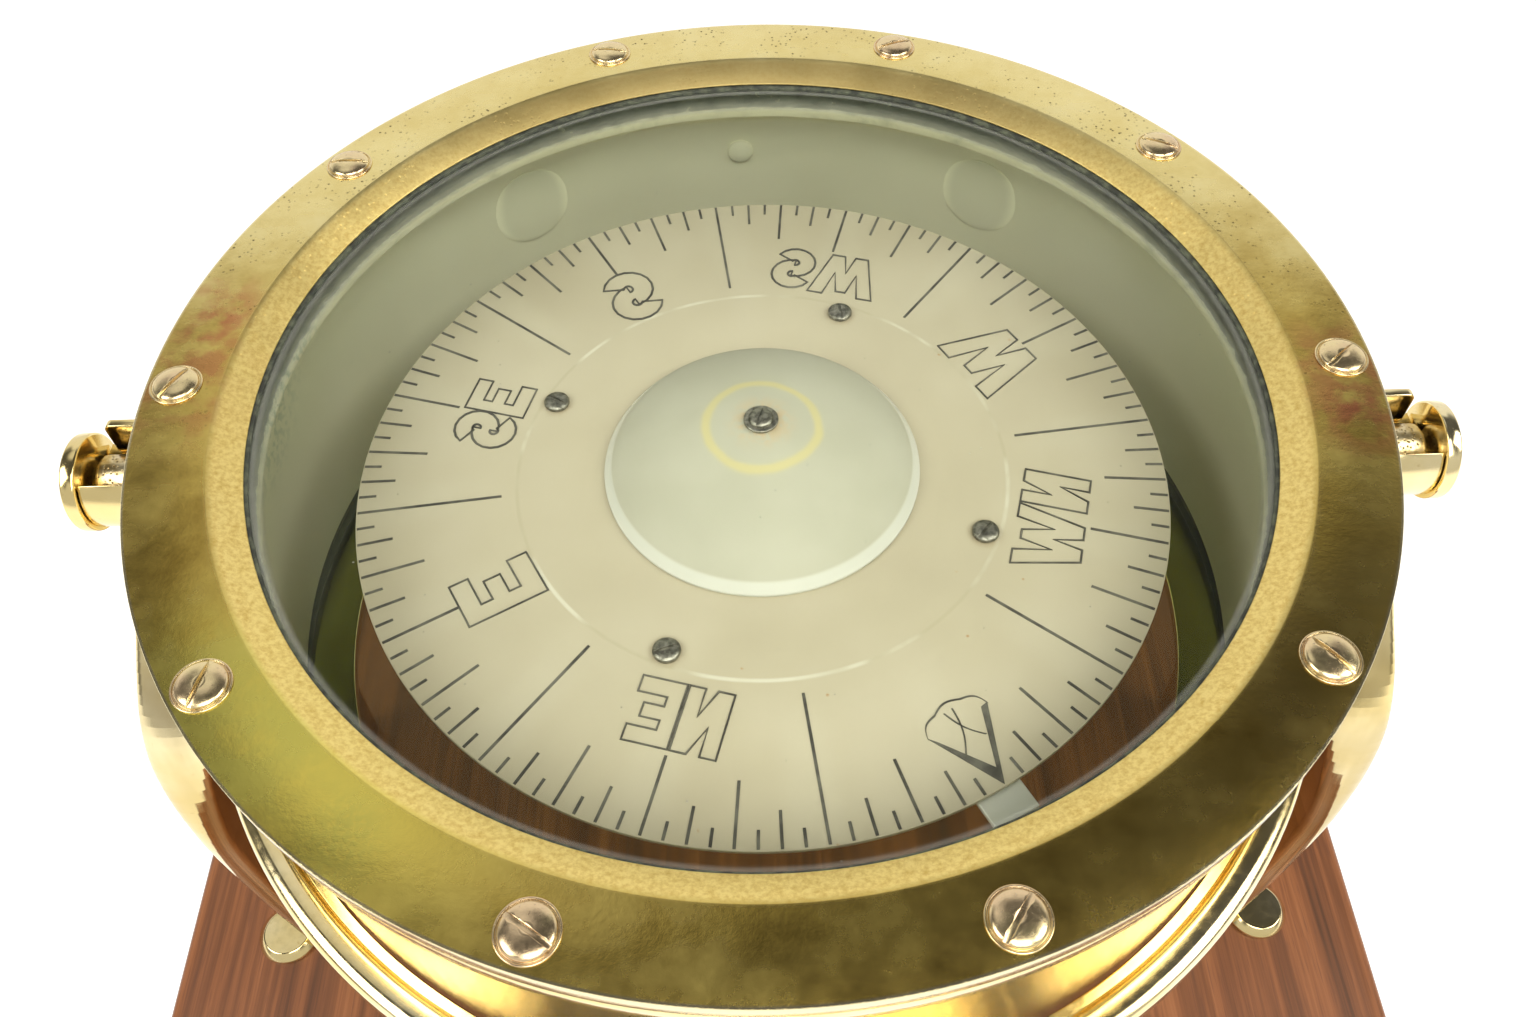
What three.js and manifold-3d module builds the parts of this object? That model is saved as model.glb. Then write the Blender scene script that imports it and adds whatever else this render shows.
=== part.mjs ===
// A liquid binnacle compass on a wooden board. A round brass bowl with a glass top and
// a glass bottom swings on two side pins, which lie in open-topped bearings on two
// brass arms. A floating card with a central dome turns inside the bowl.
// Millimetres. +Z is up, -Y is the front, X runs along the two side pins.
import * as THREE from "three";
import { mergeVertices } from "three/addons/utils/BufferGeometryUtils.js";
import Module from "manifold-3d";

const wasm = await Module();
wasm.setup();

// ---------- driving dimensions ----------
const GAP = 0.3; // air left between two pieces that touch
const BEZEL_R = 107; // outside of the bezel
const TOP_Z = 223; // upper face of the bezel above the table
const BOARD_TOP = 28; // upper face of the wooden board

const BOARD_X = 332;
const BOARD_Y = 270;
const FELT_T = 1.5;

const AXIS_Z = TOP_Z - 26.2; // height of the two side pins
const PIN_R = 5.1;
const PIN_END_X = 125;

const BEZEL_T = 3.3;
const LIP_R = 87.7; // edge of the round window
const BEVEL_R = 93; // where the flat of the bezel starts to slope down to the window
const SCREW_COUNT = 10;
const SCREW_CIRCLE_R = 101.6;
const SCREW_HEAD_R = 4.3;

const WALL_OUT_R = 104;
const WALL_IN_R = 97;
const WALL_DEPTH = 66; // lower edge of the bowl's wall below the bezel's face
const FLANGE_T = 4;

const BALLAST_R = 112;
const BALLAST_DEPTH = 53.5; // upper face of the ballast ring below the bezel's face
const BALLAST_T = 10;

const CARD_R = 76.5;
const CARD_T = 1;
const CARD_Z = TOP_Z - 27.2; // underside of the card
const DOME_R = 30;
const DOME_H = 12.6;
const NORTH_DEG = -61.3; // where the card's north lies, from +X
const CARD_SCREW_R = 44;
const CARD_SCREW_DEG = 38.4; // first card screw, from the north mark

const ARM_OUT_X = 128.4; // outer face of each arm low down
const CUP_R = 8.6;
const CUP_IN_X = 113.2;
const CUP_OUT_X = 126;
const SLOT_HALF = 6;
const CAP_R = 9.4;
const CAP_OUT_X = 129.1;

// ---------- materials ----------
const paint = {
  wood: { color: 0x8a4630, roughness: 0.55, metalness: 0 },
  felt: { color: 0x24402c, roughness: 0.95, metalness: 0 },
  polished: { color: 0xd9b65c, roughness: 0.15, metalness: 1 },
  patina: { color: 0x97863f, roughness: 0.5, metalness: 1 },
  screw: { color: 0xc9a98a, roughness: 0.2, metalness: 1 },
  rubber: { color: 0x2b2a26, roughness: 0.8, metalness: 0 },
  glass: { color: 0xdfe9e6, roughness: 0.03, metalness: 0, transparent: true, opacity: 0.25 },
  inside: { color: 0x9aa396, roughness: 0.6, metalness: 0.1 },
  card: { color: 0xe2dfca, roughness: 0.6, metalness: 0 },
  dome: { color: 0xd5dcc8, roughness: 0.3, metalness: 0 },
  steel: { color: 0x9b9c96, roughness: 0.35, metalness: 1 },
};

const compass = new THREE.Group();
compass.name = "binnacle_compass";

function material(kind) {
  return new THREE.MeshStandardMaterial(paint[kind]);
}

function add(name, geometry, kind) {
  const mesh = new THREE.Mesh(geometry, material(kind));
  mesh.name = name;
  compass.add(mesh);
  return mesh;
}

// ---------- geometry helpers ----------
// Welds a geometry, drops its empty triangles and turns its faces outwards.
function tidy(geometry) {
  const bare = new THREE.BufferGeometry();
  bare.setAttribute("position", geometry.getAttribute("position").clone());
  if (geometry.index) bare.setIndex(geometry.index.clone());
  const welded = mergeVertices(bare, 1e-3);
  const p = welded.getAttribute("position");
  const index = welded.index.array;
  const kept = [];
  let volume = 0;
  const a = new THREE.Vector3();
  const b = new THREE.Vector3();
  const c = new THREE.Vector3();
  for (let i = 0; i < index.length; i += 3) {
    const [u, v, w] = [index[i], index[i + 1], index[i + 2]];
    if (u === v || v === w || w === u) continue;
    kept.push(u, v, w);
    a.fromBufferAttribute(p, u);
    b.fromBufferAttribute(p, v);
    c.fromBufferAttribute(p, w);
    volume += a.dot(b.cross(c)) / 6;
  }
  if (volume < 0) {
    for (let i = 0; i < kept.length; i += 3) {
      [kept[i + 1], kept[i + 2]] = [kept[i + 2], kept[i + 1]];
    }
  }
  welded.setIndex(kept);
  return welded;
}

// A solid of revolution about Z from a closed loop of [radius, height] points.
function turned(points, segments = 48, closed = true) {
  const loop = points.map(([r, z]) => new THREE.Vector2(r, z));
  if (closed) loop.push(loop[0].clone());
  const g = new THREE.LatheGeometry(loop, segments);
  g.rotateX(Math.PI / 2);
  return tidy(g);
}

// A round bar with a chamfer on both ends, lying along Z from z0 to z1.
function bar(radius, z0, z1, segments = 20, chamfer = 0) {
  const points = [[0, z0]];
  if (chamfer > 0) points.push([radius - chamfer, z0], [radius, z0 + chamfer]);
  else points.push([radius, z0]);
  if (chamfer > 0) points.push([radius, z1 - chamfer], [radius - chamfer, z1]);
  else points.push([radius, z1]);
  points.push([0, z1]);
  return turned(points, segments, false);
}

function block(x0, x1, y0, y1, z0, z1) {
  const g = new THREE.BoxGeometry(x1 - x0, y1 - y0, z1 - z0);
  g.translate((x0 + x1) / 2, (y0 + y1) / 2, (z0 + z1) / 2);
  return tidy(g);
}

function solid(geometry) {
  return new wasm.Manifold(
    new wasm.Mesh({
      numProp: 3,
      vertProperties: new Float32Array(geometry.getAttribute("position").array),
      triVerts: new Uint32Array(geometry.index.array),
    }),
  );
}

function shape(body) {
  const mesh = body.getMesh();
  const g = new THREE.BufferGeometry();
  g.setAttribute("position", new THREE.BufferAttribute(mesh.vertProperties, 3));
  g.setIndex(new THREE.BufferAttribute(mesh.triVerts, 1));
  return g;
}

function cut(geometry, cutters) {
  return shape(cutters.reduce((s, c) => s.subtract(solid(c)), solid(geometry)));
}

// A bar made along Z, turned to point along X.
function alongX(geometry) {
  return geometry.rotateY(Math.PI / 2);
}

function mirrored(geometry, side) {
  if (side > 0) return geometry;
  geometry.scale(-1, 1, 1);
  return tidy(geometry);
}

function around(count, startDeg) {
  return Array.from({ length: count }, (_, i) => ((startDeg + (i * 360) / count) * Math.PI) / 180);
}

// ---------- board ----------
function roundedRectangle(width, depth, radius) {
  const s = new THREE.Shape();
  const x = width / 2;
  const y = depth / 2;
  s.moveTo(-x + radius, -y);
  s.lineTo(x - radius, -y);
  s.absarc(x - radius, -y + radius, radius, -Math.PI / 2, 0, false);
  s.lineTo(x, y - radius);
  s.absarc(x - radius, y - radius, radius, 0, Math.PI / 2, false);
  s.lineTo(-x + radius, y);
  s.absarc(-x + radius, y - radius, radius, Math.PI / 2, Math.PI, false);
  s.lineTo(-x, -y + radius);
  s.absarc(-x + radius, -y + radius, radius, Math.PI, Math.PI * 1.5, false);
  return s;
}

const STUD_X = 137.1;
const STUD_Y = 30.8;
const STUD_R = 8.3;

const boardBottom = FELT_T + GAP;
const bevel = 2.5;
const boardPlan = roundedRectangle(BOARD_X - 2 * bevel, BOARD_Y - 2 * bevel, 6);
const boardBody = new THREE.ExtrudeGeometry(boardPlan, {
  depth: BOARD_TOP - boardBottom - 2 * bevel,
  bevelEnabled: true,
  bevelSize: bevel,
  bevelThickness: bevel,
  bevelSegments: 2,
  curveSegments: 5,
});
boardBody.translate(0, 0, boardBottom + bevel);
add("wood_base", tidy(boardBody), "wood");

const feltPlan = roundedRectangle(BOARD_X - 14, BOARD_Y - 14, 6);
const felt = new THREE.ExtrudeGeometry(feltPlan, { depth: FELT_T, bevelEnabled: false, curveSegments: 5 });
add("base_felt", tidy(felt), "felt");

// ---------- arms ----------
// Each row of the arm: drop below the bezel's face, half width, inner X, outer X.
const ARM_ROWS = [
  [TOP_Z - BOARD_TOP - GAP, 35.8, 123, ARM_OUT_X],
  [172, 37.2, 123, ARM_OUT_X],
  [150, 38.6, 122.9, ARM_OUT_X],
  [117, 39.8, 122.2, ARM_OUT_X],
  [101, 39.6, 120.4, ARM_OUT_X],
  [88, 38.4, 118.2, ARM_OUT_X],
  [78, 36.4, 116.4, 128.2],
  [71, 33.6, 115.4, 127.8],
  [65, 30.2, 114.8, 127.2],
  [60, 26.0, 114.4, 126.6],
  [55, 21.0, 114.2, 126.0],
  [50, 16.6, 114.0, 125.2],
  [45, 13.2, 113.9, 124.0],
  [40, 11.0, 113.9, 122.4],
  [35, 9.8, 113.9, 121.2],
  [30, 9.4, 113.9, 120.8],
];
const ROUND_STEPS = 3;

function armRing([drop, half, inner, outer]) {
  const z = TOP_Z - drop;
  const r = Math.min((outer - inner) * 0.46, 3.6);
  const corners = [
    [outer - r, half - r, 0],
    [inner + r, half - r, 90],
    [inner + r, -half + r, 180],
    [outer - r, -half + r, 270],
  ];
  const ring = [];
  for (const [cx, cy, start] of corners) {
    for (let k = 0; k <= ROUND_STEPS; k += 1) {
      const a = ((start + (90 * k) / ROUND_STEPS) * Math.PI) / 180;
      ring.push([cx + r * Math.cos(a), cy + r * Math.sin(a), z]);
    }
  }
  return ring;
}

function loft(rings) {
  const n = rings[0].length;
  const points = rings.flat(2);
  const index = [];
  for (let i = 0; i + 1 < rings.length; i += 1) {
    for (let k = 0; k < n; k += 1) {
      const a = i * n + k;
      const b = i * n + ((k + 1) % n);
      index.push(a, b, b + n, a, b + n, a + n);
    }
  }
  for (let k = 1; k + 1 < n; k += 1) {
    index.push(0, k + 1, k);
    const top = (rings.length - 1) * n;
    index.push(top, top + k, top + k + 1);
  }
  const g = new THREE.BufferGeometry();
  g.setAttribute("position", new THREE.Float32BufferAttribute(points, 3));
  g.setIndex(index);
  return tidy(g);
}

for (const [side, label] of [
  [-1, "left"],
  [1, "right"],
]) {
  const saddle = alongX(bar(CUP_R + GAP, 100, 140, 28)).translate(0, 0, AXIS_Z);
  const arm = cut(loft(ARM_ROWS.map(armRing)), [saddle]);
  add(label + "_arm", mirrored(tidy(arm), side), "polished");

  // bearing: a tube with an open slot on top, its far wall cut lower than the near one
  const tube = alongX(bar(CUP_R, CUP_IN_X, CUP_OUT_X, 32)).translate(0, 0, AXIS_Z);
  const bore = alongX(bar(SLOT_HALF, 100, 140, 24)).translate(0, 0, AXIS_Z);
  const slot = block(100, 140, -SLOT_HALF, SLOT_HALF, AXIS_Z, AXIS_Z + 20);
  const farWall = block(100, 140, 0, 12, AXIS_Z + 1, AXIS_Z + 20);
  add(label + "_bearing", mirrored(tidy(cut(tube, [bore, slot, farWall])), side), "polished");

  // end cap that closes the bearing outside
  const capIn = CUP_OUT_X + GAP;
  const cap = turned(
    [
      [0, capIn],
      [CAP_R - 0.5, capIn],
      [CAP_R, capIn + 0.5],
      [CAP_R, CAP_OUT_X - 0.9],
      [CAP_R - 0.9, CAP_OUT_X],
      [0, CAP_OUT_X],
    ],
    28,
    false,
  );
  add(label + "_bearing_cap", mirrored(alongX(cap).translate(0, 0, AXIS_Z), side), "polished");

  // keeper: an upright plate on the bearing's far wall
  const keeperShape = new THREE.Shape();
  keeperShape.moveTo(CUP_IN_X + 0.2, 0);
  keeperShape.lineTo(124.1, 0);
  keeperShape.lineTo(124.1, 6.4);
  keeperShape.absarc(123.1, 6.4, 1, 0, Math.PI / 2, false);
  keeperShape.lineTo(CUP_IN_X + 0.2, 7.4);
  const keeper = new THREE.ExtrudeGeometry(keeperShape, { depth: 1.8, bevelEnabled: false, curveSegments: 4 });
  keeper.rotateX(Math.PI / 2);
  keeper.translate(0, 8.1, AXIS_Z + 1 + GAP);
  add(label + "_keeper_plate", mirrored(tidy(keeper), side), "polished");

  // round brass studs in the board beside the arm
  [-STUD_Y, STUD_Y].forEach((y, i) => {
    const under = BOARD_TOP + GAP;
    const stud = turned(
      [
        [0, under],
        [STUD_R, under],
        [STUD_R, under + 1.6],
        [STUD_R - 1.6, under + 3],
        [0, under + 3],
      ],
      28,
      false,
    );
    const label2 = i === 0 ? "front" : "back";
    add(label + "_" + label2 + "_stud", stud.translate(side * STUD_X, y, 0), "polished");
  });
}

// ---------- bowl ----------
const z = (drop) => TOP_Z - drop;
const flangeTop = z(4.7);
const flangeBottom = flangeTop - FLANGE_T;
const GLASS_R = 93;
const GLASS_T = 4;
const SEAT_R = 88.5;

const shellLoop = [
  [GLASS_R + GAP, flangeTop],
  [BEZEL_R - 0.4, flangeTop],
  [BEZEL_R - 0.4, flangeBottom],
  [WALL_OUT_R + 1, flangeBottom],
  [WALL_OUT_R, flangeBottom - 1],
  [WALL_OUT_R, z(WALL_DEPTH)],
  [WALL_IN_R, z(WALL_DEPTH)],
  [WALL_IN_R, z(13.5)],
  [SEAT_R, z(11.5)],
  [SEAT_R, z(9)],
  [GLASS_R + GAP, z(9)],
];
const screwAngles = around(SCREW_COUNT, 0);
function screwHoles(radius, z0, z1) {
  return screwAngles.map((a) =>
    bar(radius, z0, z1, 8).translate(SCREW_CIRCLE_R * Math.cos(a), SCREW_CIRCLE_R * Math.sin(a), 0),
  );
}
add("bowl_shell", turned(shellLoop, 48), "inside");

const bezelLoop = [
  [BEVEL_R, z(0.1)],
  [BEVEL_R + 0.3, TOP_Z],
  [BEZEL_R - 0.5, TOP_Z],
  [BEZEL_R, z(0.5)],
  [BEZEL_R, z(BEZEL_T)],
  [LIP_R, z(BEZEL_T)],
  [LIP_R, z(2.4)],
];
add("bezel_ring", cut(turned(bezelLoop, 60), screwHoles(2.3, z(5), z(-2))), "patina");

screwAngles.forEach((a, i) => {
  const under = TOP_Z + GAP;
  const screw = turned(
    [
      [0, z(BEZEL_T - 0.2)],
      [1.8, z(BEZEL_T - 0.2)],
      [1.8, under],
      [SCREW_HEAD_R, under],
      [SCREW_HEAD_R, under + 0.7],
      [SCREW_HEAD_R - 1.1, under + 1.4],
      [0, under + 1.8],
    ],
    12,
    false,
  );
  screw.translate(SCREW_CIRCLE_R * Math.cos(a), SCREW_CIRCLE_R * Math.sin(a), 0);
  add("bezel_screw_" + String(i + 1).padStart(2, "0"), screw, "screw");
});

const gasketLoop = [
  [88.4, z(BEZEL_T + GAP)],
  [BEZEL_R - 0.8, z(BEZEL_T + GAP)],
  [BEZEL_R - 0.8, z(4.4)],
  [88.4, z(4.4)],
];
add("top_gasket", turned(gasketLoop, 40), "rubber");
add("top_glass", bar(GLASS_R, z(4.7 + GLASS_T), z(4.7), 40), "glass");

const ballastLoop = [
  [WALL_OUT_R + GAP, z(BALLAST_DEPTH + 1.8)],
  [WALL_OUT_R + 2.4, z(BALLAST_DEPTH + 1.8)],
  [WALL_OUT_R + 3, z(BALLAST_DEPTH)],
  [BALLAST_R - 2.4, z(BALLAST_DEPTH)],
  [BALLAST_R - 0.7, z(BALLAST_DEPTH + 0.7)],
  [BALLAST_R, z(BALLAST_DEPTH + 2.4)],
  [BALLAST_R, z(BALLAST_DEPTH + BALLAST_T - 2)],
  [BALLAST_R - 2, z(BALLAST_DEPTH + BALLAST_T)],
  [WALL_OUT_R + GAP, z(BALLAST_DEPTH + BALLAST_T)],
];
add("ballast_ring", turned(ballastLoop, 48), "polished");

// glass bottom and the ring that holds it
const BOTTOM_GLASS_R = 99.5;
const retainerTop = z(WALL_DEPTH) - GAP;
const glassTop = retainerTop;
const glassLow = glassTop - 5;
add("bottom_glass", bar(BOTTOM_GLASS_R, glassLow, glassTop, 40), "glass");
const RETAINER_SCREWS = 4;
const RETAINER_SCREW_R = 95.5;
const RETAINER_LIP_R = 89;
const retainerLoop = [
  [BOTTOM_GLASS_R + GAP, retainerTop],
  [WALL_OUT_R, retainerTop],
  [WALL_OUT_R, glassLow - 2.8],
  [WALL_OUT_R - 1.5, glassLow - 4.3],
  [RETAINER_LIP_R + 1, glassLow - 4.3],
  [RETAINER_LIP_R, glassLow - 3.3],
  [RETAINER_LIP_R, glassLow - GAP],
  [BOTTOM_GLASS_R + GAP, glassLow - GAP],
];
add("bottom_ring", turned(retainerLoop, 40), "polished");

around(RETAINER_SCREWS, 45).forEach((a, i) => {
  const top = glassLow - 4.3 - GAP;
  const screw = turned(
    [
      [0, top],
      [3.2, top],
      [3.2, top - 0.8],
      [2.2, top - 1.8],
      [0, top - 2],
    ],
    14,
    false,
  );
  screw.translate(RETAINER_SCREW_R * Math.cos(a), RETAINER_SCREW_R * Math.sin(a), 0);
  add("bottom_ring_screw_" + (i + 1), screw, "screw");
});

// side pins, each with a round shoulder against the bowl's wall
for (const [side, label] of [
  [-1, "left"],
  [1, "right"],
]) {
  const pin = turned(
    [
      [0, WALL_OUT_R + GAP],
      [9, WALL_OUT_R + GAP],
      [9, WALL_OUT_R + 2],
      [7.5, WALL_OUT_R + 3.4],
      [PIN_R, WALL_OUT_R + 4.4],
      [PIN_R, PIN_END_X - 1],
      [PIN_R - 1, PIN_END_X],
      [0, PIN_END_X],
    ],
    24,
    false,
  );
  add(label + "_pin", mirrored(alongX(pin).translate(0, 0, AXIS_Z), side), "polished");
}

// filler plug at the back of the bowl
const plug = turned(
  [
    [0, WALL_OUT_R + GAP],
    [6, WALL_OUT_R + GAP],
    [6, WALL_OUT_R + 2.6],
    [5, WALL_OUT_R + 3.4],
    [0, WALL_OUT_R + 3.4],
  ],
  20,
  false,
);
plug.rotateX(-Math.PI / 2);
add("filler_plug", tidy(plug.translate(0, 0, z(33))), "screw");

// post that carries the card, standing on the glass bottom
const POST_TOP = CARD_Z + DOME_H - 4;
const post = turned(
  [
    [0, glassTop + GAP],
    [16, glassTop + GAP],
    [16, glassTop + GAP + 2.5],
    [4, glassTop + GAP + 4.5],
    [2.6, glassTop + GAP + 10],
    [2, CARD_Z + 2],
    [0.8, POST_TOP],
    [0, POST_TOP + 0.6],
  ],
  20,
  false,
);
add("pivot_post", post, "steel");

// ---------- card ----------
const north = (NORTH_DEG * Math.PI) / 180;
const cardTop = CARD_Z + CARD_T;
const cardHoles = around(4, NORTH_DEG + CARD_SCREW_DEG).map((a) =>
  bar(1.5, CARD_Z - 4, CARD_Z + 4, 8).translate(CARD_SCREW_R * Math.cos(a), CARD_SCREW_R * Math.sin(a), 0),
);
const cardLoop = [
  [12, CARD_Z],
  [CARD_R, CARD_Z],
  [CARD_R, cardTop],
  [12, cardTop],
];
add("compass_card", cut(turned(cardLoop, 48), cardHoles), "card");

const domeLoop = [];
const DOME_STEPS = 5;
const sphere = (DOME_R * DOME_R + DOME_H * DOME_H) / (2 * DOME_H);
const domeBase = cardTop + GAP;
for (let i = 0; i <= DOME_STEPS; i += 1) {
  const r = (DOME_R * (DOME_STEPS - i)) / DOME_STEPS;
  domeLoop.push([r, domeBase + DOME_H - sphere + Math.sqrt(sphere * sphere - r * r)]);
}
for (let i = 0; i <= DOME_STEPS; i += 1) {
  const r = ((DOME_R - 1.6) * i) / DOME_STEPS;
  domeLoop.push([r, domeBase + DOME_H - 1.6 - sphere + Math.sqrt(sphere * sphere - r * r)]);
}
domeLoop[domeLoop.length - 1][1] = domeBase;
add("float_dome", turned(domeLoop, 28), "dome");

const domeTop = domeBase + DOME_H + GAP;
const cupScrew = turned(
  [
    [0, domeTop],
    [3.2, domeTop],
    [3.2, domeTop + 0.7],
    [2.2, domeTop + 1.4],
    [0, domeTop + 1.5],
  ],
  16,
  false,
);
add("dome_screw", cupScrew, "screw");

const frameLoop = [
  [39.5, CARD_Z - GAP],
  [48.5, CARD_Z - GAP],
  [48.5, CARD_Z - GAP - 1.6],
  [39.5, CARD_Z - GAP - 1.6],
];
const frameHoles = around(4, NORTH_DEG + CARD_SCREW_DEG).map((a) =>
  bar(1.5, CARD_Z - 4, CARD_Z + 4, 8).translate(CARD_SCREW_R * Math.cos(a), CARD_SCREW_R * Math.sin(a), 0),
);
add("card_frame", cut(turned(frameLoop, 28), frameHoles), "steel");

around(4, NORTH_DEG + CARD_SCREW_DEG).forEach((a, i) => {
  const under = cardTop + GAP;
  const screw = turned(
    [
      [0, CARD_Z - 1.7],
      [1.2, CARD_Z - 1.7],
      [1.2, under],
      [2.5, under],
      [2.5, under + 0.6],
      [1.6, under + 1.1],
      [0, under + 1.2],
    ],
    12,
    false,
  );
  screw.translate(CARD_SCREW_R * Math.cos(a), CARD_SCREW_R * Math.sin(a), 0);
  add("card_screw_" + (i + 1), screw, "steel");
});

const tab = block(70, 81.5, -4.2, 4.2, CARD_Z - GAP - 1.2, CARD_Z - GAP);
add("north_tab", tab.rotateZ(north), "dome");

export default compass;
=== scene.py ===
# %% [markdown]
# # A liquid ship's compass
# A brass bowl with a glass top hangs on two side pins between two brass arms, over a
# wooden board. A cream card with a domed float turns inside it. The bowl, the card and
# the stand were packed as plain solids that already move in the right way. This lesson
# gives each of them its real form and finish, and leaves the plain solids to do the moving.

# %% Load the frame
from math import cos, pi, radians, sin, sqrt

import bmesh
import bpy
from mathutils import Matrix, Vector


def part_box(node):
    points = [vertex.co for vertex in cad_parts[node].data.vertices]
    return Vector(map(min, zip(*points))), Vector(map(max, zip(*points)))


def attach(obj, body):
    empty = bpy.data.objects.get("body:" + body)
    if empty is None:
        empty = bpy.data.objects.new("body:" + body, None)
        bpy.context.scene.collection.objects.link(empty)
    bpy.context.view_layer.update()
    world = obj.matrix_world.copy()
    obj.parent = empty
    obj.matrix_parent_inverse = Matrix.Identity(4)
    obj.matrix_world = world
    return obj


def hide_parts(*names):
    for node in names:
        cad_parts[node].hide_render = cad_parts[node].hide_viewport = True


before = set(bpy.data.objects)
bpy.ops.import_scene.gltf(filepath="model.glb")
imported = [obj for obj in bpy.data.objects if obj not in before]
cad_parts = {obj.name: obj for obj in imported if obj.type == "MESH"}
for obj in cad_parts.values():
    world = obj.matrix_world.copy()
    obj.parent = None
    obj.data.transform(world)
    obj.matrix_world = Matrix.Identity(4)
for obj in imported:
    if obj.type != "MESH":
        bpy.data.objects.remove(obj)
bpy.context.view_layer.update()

# %% [markdown]
# ## Sizes
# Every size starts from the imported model, so that the finished pieces lie where the plain
# ones do. The lesson works in millimetres, and turns a piece into metres when it is done.

# %% Read the main sizes from the frame
MM = 0.001


def span(node):
    """Lowest and highest corner of a plain solid, in millimetres."""
    low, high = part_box(node)
    return low / MM, high / MM


BEZEL_LOW, BEZEL_HIGH = span("bezel_ring")
TOP = BEZEL_HIGH.z
BEZEL_R = BEZEL_HIGH.x
AXIS_Z = (span("right_bearing_cap")[0].z + span("right_bearing_cap")[1].z) / 2
WALL_R = span("bottom_ring")[1].x
CARD_LOW, CARD_HIGH = span("compass_card")
CARD_R = CARD_HIGH.x
CARD_TOP = CARD_HIGH.z
BOARD_LOW, BOARD_HIGH = span("wood_base")
GAP = 0.3
print(f"bezel {2 * BEZEL_R:.0f} mm across, its face {TOP:.0f} mm up; pins {AXIS_Z:.1f} mm up")

# %% [markdown]
# ## Camera
# The eye looks down on the compass from the front at 53 degrees, close enough for strong
# perspective: it is only one and a half bezel widths away. It leans by about one degree.

# %% Set the camera


def add_object(name, data):
    thing = bpy.data.objects.new(name, data)
    bpy.context.scene.collection.objects.link(thing)
    return thing


EYE = Vector((0, -1.3987 * BEZEL_R, TOP + 1.4875 * BEZEL_R)) * MM
LOOK_DOWN = radians(53.06)
LEAN = radians(1.1)
TURN = radians(0.37)

camera_data = bpy.data.cameras.new("eye")
camera_data.sensor_width = 36
camera_data.lens = 29.19
camera_data.clip_start = 0.01
camera = add_object("eye", camera_data)
bpy.context.scene.camera = camera
aim = Matrix.Rotation(-TURN, 4, "Z") @ Matrix.Rotation(pi / 2 - LOOK_DOWN, 4, "X")
camera.matrix_world = Matrix.Translation(EYE) @ aim @ Matrix.Rotation(-LEAN, 4, "Z")
print("eye at", [round(v, 4) for v in EYE])

# %% [markdown]
# ## Shader maths
# Finishes such as tarnish are sums and products of a few patterns. A small class holds
# one output of a node and turns + - * into Math nodes, so that a finish reads like a
# formula. Every other node comes from one method, which sets the node up first and then
# fills its sockets with values or with wires.

# %% A wire and a finish


def operator(operation, swapped=False):
    """A method that joins a wire and another value in a Math node."""

    def join(self, other):
        first, second = (other, self) if swapped else (self, other)
        return self.finish.node("Math", {"operation": operation}, {0: first, 1: second})[0]

    return join


class Wire:
    """One output of a node, which can be added and multiplied like a number."""

    def __init__(self, finish, socket):
        self.finish = finish
        self.socket = socket

    __add__, __radd__ = operator("ADD"), operator("ADD", swapped=True)
    __sub__, __rsub__ = operator("SUBTRACT"), operator("SUBTRACT", swapped=True)
    __mul__, __rmul__ = operator("MULTIPLY"), operator("MULTIPLY", swapped=True)


class Outputs:
    """The outputs of one node, by name or by number."""

    def __init__(self, finish, node):
        self.finish = finish
        self.node = node

    def __getitem__(self, key):
        return Wire(self.finish, self.node.outputs[key])


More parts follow.
